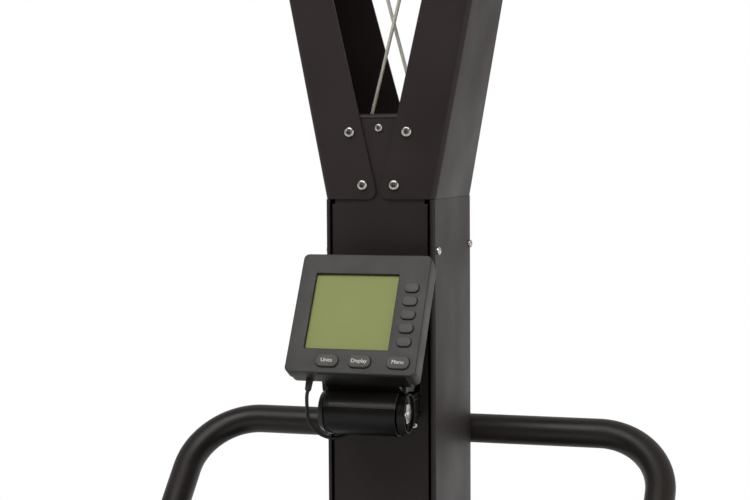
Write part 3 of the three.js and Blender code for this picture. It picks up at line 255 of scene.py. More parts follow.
# Takes a piece's modifiers into its mesh
def applyModifiers(piece):
    graph = bpy.context.evaluated_depsgraph_get()
    mesh = bpy.data.meshes.new_from_object(piece.evaluated_get(graph))
    piece.modifiers.clear()
    piece.data = mesh


# Cuts other pieces' volumes out of a piece, and drops them
def cutWith(piece, *cutters):
    for cutter in cutters:
        boolean = piece.modifiers.new("cut", "BOOLEAN")
        boolean.operation = "DIFFERENCE"
        boolean.solver = "EXACT"
        boolean.object = cutter
    applyModifiers(piece)
    for cutter in cutters:
        bpy.data.objects.remove(cutter)


bodyOfNode = {node: body for body, nodes in frame["record"]["behaviour"]["bodies"].items() for node in nodes}


# Puts a finished piece in place of its nodes, with its material; its body follows the first node unless one
# is given
def dress(piece, material, *nodes, body=None, slot=None):
    piece.data.materials.clear()
    piece.data.materials.append(material)
    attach(piece, body or bodyOfNode[nodes[0]])
    if nodes:
        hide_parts(*nodes)


# A turned piece with its finish; its edges stay sharp where they turn by more than the angle
def turnedPiece(name, profile, centre, material, *nodes, axis="x", segments=64, turn=None, angle=35, **place):
    piece = revolve(name, profile, centre, axis, segments, turn)
    if angle:
        smoothByAngle(piece, angle)
    dress(piece, material, *nodes, **place)


# Flat loops set at places along one axis, as the layers of a solid; one loop serves every place
def layersAt(axis, places, *loops):
    loops = loops * len(places) if len(loops) == 1 else loops
    index = "xyz".index(axis)
    return np.stack([np.insert(np.array(loop, float), index, place, axis=1)
                     for loop, place in zip(loops, places)])


# A solid through its layers, closed at both ends, with its sharp edges rounded
def layeredPiece(name, layers, angle=35, edge=0.0, segments=2, edgeAngle=30):
    piece = tidyMesh(gridSurface(name, np.asarray(layers) * mm, capEnds=True))
    smoothByAngle(piece, angle)
    if edge:
        addBevel(piece, edge, segments, edgeAngle)
    return piece


# A merged copy of a node's mesh in the node's place, with its flat facets joined and its edges rounded
def dressedCopy(node, name, material, edge, segments=2, angle=35):
    piece = bpy.data.objects.new(name, frame["nodes"][node].data.copy())
    bpy.context.collection.objects.link(piece)
    work = bmesh.new()
    work.from_mesh(piece.data)
    bmesh.ops.remove_doubles(work, verts=work.verts, dist=1e-5)
    bmesh.ops.dissolve_limit(work, angle_limit=math.radians(0.5), verts=work.verts, edges=work.edges)
    work.to_mesh(piece.data)
    work.free()
    smoothByAngle(piece, angle)
    addBevel(piece, edge, segments, angle)
    dress(piece, material, node)


# One calculation in a node tree, on sockets or plain numbers
def calc(tree, operation, *values):
    node = tree.nodes.new("ShaderNodeMath")
    node.operation = operation
    for socket, value in zip(node.inputs, values):
        if isinstance(value, float):
            socket.default_value = value
        else:
            tree.links.new(value, socket)
    return node.outputs["Value"]


# A smooth step from low to high in a node tree, while the source goes from start to end
def smoothStep(tree, source, start, end, low=0.0, high=1.0):
    node = tree.nodes.new("ShaderNodeMapRange")
    node.interpolation_type = "SMOOTHSTEP"
    for label, value in (("From Min", start), ("From Max", end), ("To Min", low), ("To Max", high)):
        node.inputs[label].default_value = value
    tree.links.new(source, node.inputs["Value"])
    return node.outputs["Result"]


# Materials: a node group gives the pattern that more than one finish uses
def nodeGroup(name, inputs, outputs):
    group = bpy.data.node_groups.new(name, "ShaderNodeTree")
    for label, value in inputs.items():
        socket = group.interface.new_socket(label, in_out="INPUT", socket_type="NodeSocketFloat")
        socket.default_value = value
    for label in outputs:
        group.interface.new_socket(label, in_out="OUTPUT", socket_type="NodeSocketFloat")
    start = group.nodes.new("NodeGroupInput")
    end = group.nodes.new("NodeGroupOutput")
    return group, start, end


# Grain, as powder coat and moulded plastic have: a fine noise for the height, a coarse one for clouds of tone
def makeGrainGroup():
    group, start, end = nodeGroup("grain", {"Fine": 900.0, "Coarse": 60.0}, ("Height", "Cloud"))
    place = group.nodes.new("ShaderNodeTexCoord")
    heights = []
    for label, detail in (("Fine", 2.0), ("Coarse", 3.0)):
        noise = group.nodes.new("ShaderNodeTexNoise")
        noise.inputs["Detail"].default_value = detail
        group.links.new(place.outputs["Object"], noise.inputs["Vector"])
        group.links.new(start.outputs[label], noise.inputs["Scale"])
        heights.append(noise.outputs["Fac"])
    group.links.new(heights[0], end.inputs["Height"])
    group.links.new(heights[1], end.inputs["Cloud"])
    return group


# Braid: the smaller of two crossing helices' heights, |sin| of the strand angle one way and the other, from
# the UV along a cord
def makeBraidGroup():
    group, start, end = nodeGroup("braid", {"Strands": 8.0, "Pitch": 3.0}, ("Height",))
    uv = group.nodes.new("ShaderNodeUVMap")
    uv.uv_map = "along"
    split = group.nodes.new("ShaderNodeSeparateXYZ")
    group.links.new(uv.outputs["UV"], split.inputs["Vector"])
    round_ = calc(group, "MULTIPLY", split.outputs["X"], start.outputs["Strands"])
    along = calc(group, "DIVIDE", split.outputs["Y"], start.outputs["Pitch"])
    heights = []
    for way in ("ADD", "SUBTRACT"):
        angle = calc(group, "MULTIPLY", calc(group, way, round_, along), math.pi)
        heights.append(calc(group, "ABSOLUTE", calc(group, "SINE", angle)))
    group.links.new(calc(group, "MINIMUM", *heights), end.inputs["Height"])
    return group


grainGroup = makeGrainGroup()
braidGroup = makeBraidGroup()


# A material with its tree and its main shader at hand
class Finish:
    def __init__(self, name, roughness, metallic=0.0, coat=0.0, specular=0.5):
        self.material = bpy.data.materials.new(name)
        self.material.use_nodes = True
        self.tree = self.material.node_tree
        self.shader = self.tree.nodes["Principled BSDF"]
        self.shader.inputs["Roughness"].default_value = roughness
        self.shader.inputs["Metallic"].default_value = metallic
        self.shader.inputs["Coat Weight"].default_value = coat
        self.shader.inputs["Specular IOR Level"].default_value = specular

    def link(self, source, target):
        self.tree.links.new(source, target)

    def node(self, kind):
        return self.tree.nodes.new(kind)

    def group(self, group, **values):
        node = self.node("ShaderNodeGroup")
        node.node_tree = group
        for label, value in values.items():
            node.inputs[label].default_value = value
        return node

    # A ramp between stops of (place, value), used for colours and for plain values
    def ramp(self, source, *stops):
        ramp = self.node("ShaderNodeValToRGB")
        for index, (place, colour) in enumerate(stops):
            stop = ramp.color_ramp.elements[index] if index < 2 else ramp.color_ramp.elements.new(place)
            stop.position = place
            stop.color = (*colour, 1) if isinstance(colour, tuple) else (colour, colour, colour, 1)
        self.link(source, ramp.inputs["Fac"])
        return ramp.outputs["Color"]

    # Relief of the given depth in millimetres
    def bump(self, source, depth):
        bump = self.node("ShaderNodeBump")
        bump.inputs["Distance"].default_value = depth * mm
        bump.inputs["Strength"].default_value = 1.0
        self.link(source, bump.inputs["Height"])
        self.link(bump.outputs["Normal"], self.shader.inputs["Normal"])


# A coated or moulded surface: cloudy colour between two shades, cloudy roughness, fine bump
def grainyFinish(name, dark, light, roughness, fine, coarse, bump, metallic=0.0, spread=0.08, specular=0.5):
    finish = Finish(name, roughness, metallic, specular=specular)
    grain = finish.group(grainGroup, Fine=fine, Coarse=coarse)
    colour = finish.ramp(grain.outputs["Cloud"], (0.3, dark), (0.7, light))
    finish.link(colour, finish.shader.inputs["Base Color"])
    rough = finish.ramp(grain.outputs["Cloud"], (0.25, roughness - spread), (0.75, roughness + spread))
    finish.link(rough, finish.shader.inputs["Roughness"])
    finish.bump(grain.outputs["Height"], bump)
    return finish.material


powderCoat = grainyFinish("powderCoat", dark=(0.0130, 0.0088, 0.0084), light=(0.0175, 0.0125, 0.0118),
                          roughness=0.48, fine=1400, coarse=9, bump=0.05, specular=0.26)
tubeCoat = grainyFinish("tubeCoat", dark=(0.0105, 0.0080, 0.0074), light=(0.014, 0.0112, 0.0104),
                        roughness=0.42, fine=1400, coarse=12, bump=0.02, specular=0.32)
blackPlastic = grainyFinish("blackPlastic", dark=(0.0045, 0.004, 0.004), light=(0.0065, 0.006, 0.006),
                            roughness=0.34, fine=1800, coarse=40, bump=0.012, specular=0.22)
# Lighter than the lower half's black plastic: painted light on the sleeve's upper half, where its highlight
# falls
sleevePaintedLightPlastic = grainyFinish("sleevePaintedLightPlastic", dark=(0.021, 0.0185, 0.0175), light=(0.027, 0.0245, 0.023),
                             roughness=0.32, fine=1800, coarse=40, bump=0.012, specular=0.4)
casePlastic = grainyFinish("casePlastic", dark=(0.0222, 0.0207, 0.0193), light=(0.0276, 0.0262, 0.0243),
                           roughness=0.5, fine=2600, coarse=30, bump=0.045, specular=0.35)
keyPlastic = grainyFinish("keyPlastic", dark=(0.042, 0.041, 0.038), light=(0.050, 0.049, 0.046),
                          roughness=0.5, fine=2200, coarse=60, bump=0.012, specular=0.35)
rubber = grainyFinish("rubber", dark=(0.010, 0.010, 0.010), light=(0.016, 0.016, 0.015),
                      roughness=0.72, fine=1500, coarse=80, bump=0.03)
cableSkin = grainyFinish("cableSkin", dark=(0.005, 0.005, 0.005), light=(0.008, 0.008, 0.008),
                         roughness=0.5, fine=1500, coarse=80, bump=0.01, specular=0.3)
deckCoat = grainyFinish("deckCoat", dark=(0.020, 0.019, 0.018), light=(0.034, 0.032, 0.030),
                        roughness=0.78, fine=700, coarse=20, bump=0.16)
brushedSteel = grainyFinish("brushedSteel", dark=(0.38, 0.38, 0.39), light=(0.50, 0.50, 0.51),
                            roughness=0.34, fine=700, coarse=90, bump=0.02, metallic=1.0)
darkSteel = grainyFinish("darkSteel", dark=(0.15, 0.15, 0.155), light=(0.22, 0.22, 0.225),
                         roughness=0.42, fine=700, coarse=60, bump=0.02, metallic=1.0)
deepBlack = grainyFinish("deepBlack", dark=(0.004, 0.004, 0.004), light=(0.006, 0.006, 0.006),
                         roughness=0.7, fine=1500, coarse=80, bump=0.01)
markWhite = grainyFinish("markWhite", dark=(0.60, 0.60, 0.57), light=(0.648, 0.648, 0.6156),
                         roughness=0.55, fine=1500, coarse=90, bump=0.008, spread=0.04)


zincSteel = grainyFinish("zincSteel", dark=(0.42, 0.41, 0.39), light=(0.66, 0.65, 0.63),
                         roughness=0.3, fine=900, coarse=260, bump=0.012, metallic=1.0, spread=0.1)
# Painted shade: the zinc plate's colour down in a screw's socket
socketPaintedShade = (0.11, 0.108, 0.1, 1)


# Paints shade into a finish's colour where the mesh's attribute is one, as down in a screw's socket
def paintShadeByAttribute(material, attribute, shade):
    tree = material.node_tree
    colour = tree.nodes["Principled BSDF"].inputs["Base Color"]
    marked = tree.nodes.new("ShaderNodeAttribute")
    marked.attribute_name = attribute
    mix = tree.nodes.new("ShaderNodeMix")
    mix.data_type = "RGBA"
    mix.inputs["B"].default_value = shade
    tree.links.new(marked.outputs["Fac"], mix.inputs["Factor"])
    tree.links.new(colour.links[0].from_socket, mix.inputs["A"])
    tree.links.new(mix.outputs["Result"], colour)


paintShadeByAttribute(zincSteel, "recess", socketPaintedShade)

# Cord: pale braid, painted darker in the valleys between its strands as painted shade; the pitch is in
# millimetres
cordBraid = {"strands": 8.0, "pitch": 3.2, "bump": 0.35,
             "tonesWithValleyShade": ((0.0, (0.26, 0.26, 0.21)), (0.45, (0.62, 0.61, 0.53)), (1.0, (0.76, 0.74, 0.66)))}


def makeCordFinish():
    finish = Finish("braidedCord", 0.8, specular=0.3)
    braid = finish.group(braidGroup, Strands=cordBraid["strands"], Pitch=cordBraid["pitch"])
    # Colour by braid height: the strands' pale colour, with painted shade in the valleys
    colour = finish.ramp(braid.outputs["Height"], *cordBraid["tonesWithValleyShade"])
    finish.link(colour, finish.shader.inputs["Base Color"])
    finish.bump(braid.outputs["Height"], cordBraid["bump"])
    return finish.material


braidedCord = makeCordFinish()


# Display: green-grey crystal with faint clouds of tone, under a thin clear coat
crystalLook = {"dark": (0.196, 0.224, 0.074), "light": (0.224, 0.254, 0.088), "coarse": 14,
               "roughness": 0.45, "coat": 0.06, "coatRoughness": 0.08}


def makeDisplayFinish():
    finish = Finish("displayGlass", crystalLook["roughness"], coat=crystalLook["coat"], specular=0.1)
    finish.shader.inputs["Coat Roughness"].default_value = crystalLook["coatRoughness"]
    grain = finish.group(grainGroup, Coarse=crystalLook["coarse"])
    colour = finish.ramp(grain.outputs["Cloud"], (0.2, crystalLook["dark"]), (0.8, crystalLook["light"]))
    finish.link(colour, finish.shader.inputs["Base Color"])
    return finish.material


displayGlass = makeDisplayFinish()
say("materials ready")


# Button-head screw: a domed head on a washer face with a six-sided socket, sized by shares of the head.
# Radius of row r at angle t is that row's radius, or for the socket rows a / cos(t mod 60 - 30 degrees).
screwSet = {"height": 0.3024, "sunk": 0.8, "shoulder": 0.18, "domeFrom": 0.25, "domeFoot": 0.99,
            "domeTop": 0.66, "socket": 0.46, "socketDepth": 0.42, "rows": 7, "segments": 36, "sharp": 32}
boltSet = {"sunk": 0.6, "washer": 1.34, "washerTop": 0.98, "chamferFrom": 0.84, "chamferTo": 0.95,
           "chamfer": 1.06, "face": 0.97, "segments": 48, "sharp": 28}


# Three rows square to each other, of which the first runs along the direction
def frameTo(direction):
    along = np.array(direction, float)
    along /= np.linalg.norm(along)
    side = np.cross((0, 0, 1.0) if abs(along[2]) < 0.95 else (0, 1.0, 0), along)
    side /= np.linalg.norm(side)
    return np.stack([along, side, np.cross(along, side)])


# Rings of (height, radius) round an axis; a radius is one number, or one for each angle
def ringGrid(rows, angle):
    return np.stack([np.stack([np.full_like(angle, h), r * np.cos(angle), r * np.sin(angle)], -1)
                     for h, r in rows])


# Radius of a hexagon at each angle, from half its width across the flats
def hexagonRadius(flat, angle):
    return flat / np.cos(np.mod(angle, math.pi / 3) - math.pi / 6)


# Screw from its rings: the dome's height and radius follow a quarter sine and cosine
def buttonScrew(name, centre, direction, diameter, body="frame", material=None):
    s = screwSet
    radius, height = diameter / 2, diameter * s["height"]
    angle = np.linspace(0, 2 * np.pi, s["segments"], endpoint=False)
    socket = radius * s["socket"] * math.cos(math.pi / 6)
    hexagon = hexagonRadius(socket, angle)
    bulge = np.linspace(0, np.pi / 2, s["rows"])
    dome = radius * (s["domeFoot"] - (s["domeFoot"] - s["domeTop"]) * (1 - np.cos(bulge)))
    domeHeight = height * (s["domeFrom"] + (1 - s["domeFrom"]) * np.sin(bulge))
    floor = height * (1 - s["socketDepth"])
    rows = [(-s["sunk"], radius), (height * s["shoulder"], radius), *zip(domeHeight, dome),
            (height, hexagon * 1.04), (height * 0.96, hexagon), (floor, hexagon * 0.97),
            (floor, hexagon * 0.5), (floor - height * 0.08, hexagon * 0.04)]
    turn = frameTo(direction)
    piece = layeredPiece(name, ringGrid(rows, angle) @ turn + np.array(centre), s["sharp"])
    # The socket's inside is marked for the painted shade in the zinc plate's colour
    points = np.empty(len(piece.data.vertices) * 3)
    piece.data.vertices.foreach_get("co", points)
    local = (points.reshape(-1, 3) / mm - np.array(centre)) @ turn.T
    sunk = (np.hypot(local[:, 1], local[:, 2]) < socket * 1.17) & (local[:, 0] < height * 0.9)
    shade = piece.data.attributes.new("recess", "FLOAT", "POINT")
    shade.data.foreach_set("value", sunk.astype(float))
    dress(piece, material or zincSteel, body=body, slot="steel")


# Hexagon head bolt with a chamfered head and a washer under it: radius is hexagonal in the head's rows
def hexBolt(name, centre, direction, across, height, washer=1.0):
    b = boltSet
    half = across / 2
    angle = np.linspace(0, 2 * np.pi, b["segments"], endpoint=False)
    hexagon = hexagonRadius(half, angle)
    ring, face = half * b["washer"], half * b["face"]
    chamfer = np.minimum(hexagon, half * b["chamfer"])
    rows = [(-b["sunk"], ring), (washer * 0.8, ring), (washer, ring * b["washerTop"]), (washer, hexagon),
            (height * b["chamferFrom"], hexagon), (height * b["chamferTo"], chamfer), (height, face),
            (height, face * 0.1)]
    piece = layeredPiece(name, ringGrid(rows, angle) @ frameTo(direction) + np.array(centre), b["sharp"])
    dress(piece, zincSteel, body="frame", slot="steel")


# Column: a folded channel carried straight up, on a welded foot plate
column = {"bend": 5.2, "lip": 5.3, "bendSteps": 10, "bottom": 67.4, "top": 1259.7, "levels": 9, "edge": 0.5,
          "footLow": 60.9, "footHigh": 68.9, "footMargin": 30.0, "footCorner": 15.0, "footEdge": 1.2,
          "boltInset": 14.0, "bolt": (17, 8.5, 1.6)}
weldBead = {"radius": 3.2, "ripple": 0.35, "ripples": 110, "rings": 420, "sides": 10}


# Channel section: outer loop along the fold, then back along its inside, as (x, y) places
def channelSection(halfWidth, depth, bend, lip, sheet, steps):
    inside = bend - sheet
    x, rear = halfWidth - bend, depth - bend
    outer = np.concatenate([
        [[halfWidth - lip, 0]], arcPoints((x, bend), bend, -90, 0, steps),
        arcPoints((x, rear), bend, 0, 90, steps), arcPoints((-x, rear), bend, 90, 180, steps),
        arcPoints((-x, bend), bend, 180, 270, steps), [[-halfWidth + lip, 0]]])
    inner = np.concatenate([
        [[-halfWidth + lip, sheet]], arcPoints((-x, bend), inside, 270, 180, steps),
        arcPoints((-x, rear), inside, 180, 90, steps), arcPoints((x, rear), inside, 90, 0, steps),
        arcPoints((x, bend), inside, 0, -90, steps), [[halfWidth - lip, sheet]]])
    return np.concatenate([outer, inner])


# Column: the section at even levels, then the foot plate as a round-cornered slab
def makeColumn():
    section = channelSection(machine["columnWidth"] / 2, machine["columnDepth"], column["bend"],
                             column["lip"], machine["sheet"], column["bendSteps"])
    levels = np.linspace(column["bottom"], column["top"], column["levels"])
    layers = layersAt("z", levels, section + np.array([0, machine["frontY"]]))
    dress(layeredPiece("columnWall", layers, edge=column["edge"]), powderCoat, "leg_column")

    width, depth = (machine[key] + 2 * column["footMargin"] for key in ("columnWidth", "columnDepth"))
    centre = (0, machine["frontY"] + machine["columnDepth"] / 2)
    layers = layersAt("z", (column["footLow"], column["footHigh"]),
                      roundLoop(width, depth, column["footCorner"], 10, centre))
    dress(layeredPiece("footPlate", layers, edge=column["footEdge"], segments=3), powderCoat, "leg_column")

    # Weld bead: a rippled cord round the column's foot, radius r + a sin(k s)
    around = roundLoop(machine["columnWidth"] + 1, machine["columnDepth"] + 1, column["bend"], 12, centre)
    around = np.vstack([around, around[:1]])
    run = runAlong(around)
    even = np.linspace(0, run[-1], weldBead["rings"], endpoint=False)
    path = np.column_stack([np.interp(even, run, around[:, 0]), np.interp(even, run, around[:, 1])])
    outward = path - np.array(centre)
    outward /= np.linalg.norm(outward, axis=1, keepdims=True)
    turn = np.linspace(0, 2 * np.pi, weldBead["sides"], endpoint=False)
    ripple = weldBead["ripple"] * np.sin(even / run[-1] * 2 * np.pi * weldBead["ripples"])
    radius = weldBead["radius"] + ripple
    bead = np.empty((len(path), len(turn), 3))
    bead[..., :2] = path[:, None] + (radius[:, None] * np.cos(turn))[..., None] * outward[:, None]
    bead[..., 2] = column["footHigh"] + radius[:, None] * np.sin(turn)
    weld = tidyMesh(gridSurface("footWeld", bead * mm, closeRows=True))
    dress(weld, powderCoat, body="frame", slot="black_coat")

    inset = column["boltInset"]
    for sideName, side in bothSides:
        for endName, y in (("Front", -depth / 2 + inset), ("Rear", depth / 2 - inset)):
            place = (side * (width / 2 - inset), centre[1] + y, column["footHigh"])
            hexBolt("footBolt" + endName + sideName, place, (0, 0, 1), *column["bolt"])


makeColumn()

# Front panel: one sheet that folds back at the top, narrower between the arms
panel = {"front": 267.3, "sheet": 3.0, "low": 69.2, "high": 1363.0, "fold": 4.8, "shelf": 24.0, "half": 60.0,
         "offset": -0.8, "upperHalf": 56.5, "stepAt": 1254.0, "groove": 0.9, "grooveDrops": (1.3, 1.1, 0.3),
         "edge": 0.4, "hole": (-22.0, 988.0), "plug": 5.2}
grommet = {"radius": 6.4, "thick": 1.9, "flat": 0.8, "sink": 0.9}


# The panel's outer face: straight up, a quarter turn back, then the shelf; half width is a step in height
def makePanel():
    front, top, upper = panel["front"], panel["high"] - panel["fold"], panel["upperHalf"]
    bend = arcPoints((front + panel["fold"], top), panel["fold"], 180, 90, 10)
    rows = [[front, z, panel["half"]] for z in np.linspace(panel["low"], panel["stepAt"], 8)]
    rows += [[front, panel["stepAt"] + 0.01, upper]]
    rows += [[front + back, top - below, upper]
             for back, below in zip((0, panel["groove"], panel["groove"]), panel["grooveDrops"])]
    rows += [[y, z, upper] for y, z in bend]
    rows += [[front + panel["shelf"], panel["high"], upper]]
    rows = np.array(rows)
    share = np.linspace(-1, 1, 9)
    outer = np.empty((len(rows), len(share), 3))
    outer[..., 0] = rows[:, 2:] * share + panel["offset"]
    outer[..., 1] = rows[:, :1]
    outer[..., 2] = rows[:, 1:2]
    piece = gridSurface("frontPanel", outer * mm, closeColumns=False)
    solid = piece.modifiers.new("sheet", "SOLIDIFY")
    solid.thickness = panel["sheet"] * mm
    solid.offset = -1 if piece.data.polygons[0].normal.y < 0 else 1
    applyModifiers(piece)
    tidyMesh(piece)
    smoothByAngle(piece)
    addBevel(piece, panel["edge"], 2)
    dress(piece, powderCoat, "leg_front_panel")

    # Grommet in the cable's hole: a rounded ring with a plug in it
    x, z = panel["hole"]
    hole = (x, front, z)
    ring = arcPoints((0, grommet["radius"]), grommet["thick"], 0, 360, 14)[:-1]
    profile = ring * np.array([grommet["flat"], 1]) - np.array([grommet["sink"], 0])
    turnedPiece("cableGrommet", profile, hole, rubber, axis="y", segments=40, angle=None, body="frame",
                slot="rubber")
    profile = [[-0.6, 0.05], [-0.6, panel["plug"]], [0.4, panel["plug"]], [0.4, 0.05]]
    turnedPiece("grommetSleeve", profile, hole, rubber, axis="y", segments=32, angle=None, body="frame",
                slot="rubber")


makePanel()

# Arms: channels that lean apart by the splay and get shallower upwards, open towards the middle
arm = {"base": 68.9, "splay": 0.1938, "taper": 0.06, "bend": 9.0, "bendSteps": 9, "edge": 0.45,
       "flange": 2.0, "flangeTop": 34.3, "rear": -6.9, "rearTop": 17.1, "rearGap": 3.0, "overlap": 2.6,
       "corner": 13.0, "notch": 112.0, "notchSlope": 12.0}
tongue = {"y": (22.0, 158.0), "z": (-85.0, 8.0), "corner": 6, "play": 0.3}


# Outer and inner face of an arm's side wall, and the depth of its rear wall, at a height over the seam
def armOuter(z):
    return arm["base"] + arm["splay"] * z


def armInner(z):
    return armOuter(z) - machine["sheet"] * math.hypot(1, arm["splay"])


def armRear(z):
    return machine["columnDepth"] - arm["taper"] * z


# Arm section at every height: x of the outer wall is base + splay z, the bends are quarter circles,
# and the flanges end at their own straight lines; the front flange's lower corner is a quarter circle too
def makeArm(name, side):
    length = machine["armLength"]
    flange = arm["flange"] - (arm["overlap"] if side > 0 else 0)      # the right arm's flange is wider
    flangeSlope = (armOuter(length) - arm["flangeTop"] - arm["flange"]) / length
    rearSlope = (armOuter(length) - arm["rearTop"] - arm["rear"]) / length
    corner = arm["corner"] * (1 - np.cos(np.linspace(0, np.pi / 2, 12)))
    z = np.unique(np.concatenate([
        corner, np.linspace(arm["corner"], length, 14),
        [(arm["rearGap"] - arm["rear"]) / rearSlope, length - arm["notch"],
         length - arm["notch"] + arm["notchSlope"]]]))
    low = np.minimum(z, arm["corner"])
    round_ = arm["corner"] - np.sqrt(np.maximum(arm["corner"] ** 2 - (arm["corner"] - low) ** 2, 0))
    outer = armOuter(z)
    rear = armRear(z)
    straight = flange + flangeSlope * z + round_
    cutBack = np.clip((z - (length - arm["notch"])) / arm["notchSlope"], 0, 1)
    front = straight + cutBack * (outer - arm["bend"] - straight)
    back = np.maximum(arm["rearGap"], arm["rear"] + rearSlope * z)
    bend, inside, sheet = arm["bend"], arm["bend"] - machine["sheet"], machine["sheet"]

    def place(x, y):
        return np.stack([x + 0 * z, y + 0 * z], -1)[:, None]

    def quarter(centreX, centreY, radius, start, end):
        turn = np.radians(np.linspace(start, end, arm["bendSteps"] + 1))
        x = centreX[:, None] + radius * np.cos(turn)
        return np.stack([x, centreY[:, None] + radius * np.sin(turn)], -1)

    x, y = outer - bend, 0 * z + bend
    loop = np.concatenate([
        place(front, 0), quarter(x, y, bend, -90, 0), quarter(x, rear - bend, bend, 0, 90), place(back, rear),
        place(back, rear - sheet), quarter(x, rear - bend, inside, 90, 0), quarter(x, y, inside, 0, -90),
        place(front, sheet)], axis=1)
    grid = np.concatenate([loop, np.broadcast_to(z[:, None, None], loop.shape[:2] + (1,))], -1)
    grid = grid * np.array([side, 1, 1]) + np.array([0, machine["frontY"], machine["seamZ"]])
    return layeredPiece(name + "Channel", grid, edge=arm["edge"])


for sideName, side in bothSides:
    name = sideName.lower()
    dress(makeArm(name + "Arm", side), powderCoat, name + "_arm")

# Tongues that hold the arms inside the column, and the screws through both
for sideName, side in bothSides:
    (y0, y1), (z0, z1) = tongue["y"], tongue["z"]
    middle = ((y0 + y1) / 2 + machine["frontY"], (z0 + z1) / 2 + machine["seamZ"])
    outside = machine["columnWidth"] / 2 - machine["sheet"] - tongue["play"]
    layers = layersAt("x", (side * (outside - machine["sheet"]), side * outside),
                      roundLoop(y1 - y0, z1 - z0, tongue["corner"], 6, middle))
    dress(layeredPiece("armTongue" + sideName, layers), powderCoat, sideName.lower() + "_arm")

# Places are from the column's front plane and the seam: (x, z) on the front and (y, z) on the sides
screwPlaces = {"front": {"Fronthigh": (36.0, 81.0), "Frontlow": (20.0, 17.0)}, "shift": -1.1, "size": 13.0,
               "middle": 86.0, "middleSize": 10.0, "side": ((15.5, -62.6), (172.0, -62.6)), "sideSize": 10.5}
forwards = (0, -1, 0)
for sideName, side in bothSides:
    for label, (x, z) in screwPlaces["front"].items():
        place = (side * x + screwPlaces["shift"], machine["frontY"], machine["seamZ"] + z)
        buttonScrew("armScrew" + label + sideName, place, forwards, screwPlaces["size"])
    for number, (y, z) in enumerate(screwPlaces["side"]):
        place = (side * machine["columnWidth"] / 2, machine["frontY"] + y, machine["seamZ"] + z)
        buttonScrew(f"columnScrew{number + 1}{sideName}", place, (side, 0, 0), screwPlaces["sideSize"])
buttonScrew("panelScrew", (screwPlaces["shift"], panel["front"], machine["seamZ"] + screwPlaces["middle"]),
            forwards, screwPlaces["middleSize"])
say("column, panel and arms made")

# Hoop: a bent tube; its path is straight legs at 45 degrees, two bends and the bar behind the column
hoop = {"radius": 19.05, "bend": 87.0, "slope": 45.0, "barY": 470.0, "barZ": 951.5, "legX": 319.35,
        "endZ": 34.0, "sides": 40, "bendSteps": 28, "edge": 0.6}
hoopCap = [[-6, 0.05], [-6, 16.2], [0.2, 16.4], [0.2, 18.8], [1.6, 18.6], [3.2, 16.0], [3.8, 11.0],
           [4.0, 0.05]]
clampBolts = {"x": 34, "z": 35, "y": 460.2, "size": (10, 5.5, 1.2)}


# Hoop path: leg ends, bend centre + r (x cos t - down sin t), and the bar; rings lie square to it
def makeHoop():
    slope = math.radians(hoop["slope"])
    down = np.array([0, -math.cos(slope), -math.sin(slope)])
    top = np.array([hoop["legX"], hoop["barY"], hoop["barZ"]])
    corner = top - np.array([hoop["bend"], 0, 0]) + down * hoop["bend"]
    turn = np.radians(np.linspace(90, 0, hoop["bendSteps"] + 1))[:, None]
    bend = corner + hoop["bend"] * (np.cos(turn) * np.array([1, 0, 0]) - np.sin(turn) * down)
    length = (hoop["barZ"] - hoop["endZ"]) / math.sin(slope)
    end = top + down * length
    leg = bend[-1] + (end - bend[-1]) * np.linspace(0, 1, 16)[1:, None]
    half = np.vstack([bend, leg])
    bar = np.array([[x, hoop["barY"], hoop["barZ"]] for x in np.linspace(-bend[0][0], bend[0][0], 13)[1:-1]])
    path = np.vstack([half[::-1] * np.array([-1, 1, 1]), bar, half])
    along = np.gradient(path, axis=0)
    along /= np.linalg.norm(along, axis=1, keepdims=True)
    normal = np.cross(down, [1.0, 0, 0])      # the tube's plane never turns, so one normal serves every ring
    side = np.cross(along, normal)
    turn = np.linspace(0, 2 * np.pi, hoop["sides"], endpoint=False)
    ring = (np.cos(turn)[None, :, None] * side[:, None] + np.sin(turn)[None, :, None] * normal)
    tube = layeredPiece("hoopTube", path[:, None] + hoop["radius"] * ring, edge=hoop["edge"])
    dress(tube, tubeCoat, "hoop_brace")
    for sideName, sign in bothSides:
        turnedPiece("hoopCap" + sideName, hoopCap, end * np.array([sign, 1, 1]), rubber, segments=48,
                    turn=frameTo(down), angle=None, body="frame", slot="rubber")


makeHoop()
dressedCopy("hoop_clamp", "hoopClamp", powderCoat, 1.6, 3, 40)
for number, (x, z) in enumerate(((-1, 1), (1, 1), (-1, -1), (1, -1))):
    place = (x * clampBolts["x"], clampBolts["y"], hoop["barZ"] + z * clampBolts["z"])
    hexBolt(f"clampBolt{number + 1}", place, (0, 1, 0), *clampBolts["size"])
say("hoop made")

# Monitor: case halves, window, keys. In its own frame x is across the face, y into the case, z up the face.
monitor = {"centre": (0.0, 177.9, 1130.2), "tilt": 30.3, "width": 158.0, "height": 152.5, "corner": 6.5,
           "frontDepth": 18.0, "backDepth": 40.0, "wall": 2.6, "face": 4.0, "bevel": 1.3, "step": 0.8,
           "straight": 27.0, "bulge": 10.8, "window": (-8.5, 2.6, 102.1, 96.6, 1.2), "windowBevel": 0.8,
           "edge": 0.35, "steps": 8}
keys = {"proud": 2.7, "edge": 0.8, "gap": 0.5, "small": (17.4, 11.6, 5.3), "wide": (27.2, 15.4, 7.2),
        "columnX": 60.4, "columnMiddle": -0.9, "pitch": 17.2, "count": 5, "rowZ": -61.2,
        "rowX": (-28.282, 10.902, 57.196), "crown": 0.22, "flange": (2.4, 1.2), "text": 6.6,
        "textThick": 0.04, "words": ("Units", "Display", "Menu")}


# Case frame to the model's: x stays, (y, z) turns by the tilt about the face's middle
def fromFace(points):
    tilt = math.radians(monitor["tilt"])
    points = np.asarray(points, float)
    x, y, z = points[..., 0], points[..., 1], points[..., 2]
    turned = np.stack([x, y * math.cos(tilt) + z * math.sin(tilt),
                       -y * math.sin(tilt) + z * math.cos(tilt)], -1)
    return turned + np.array(monitor["centre"])


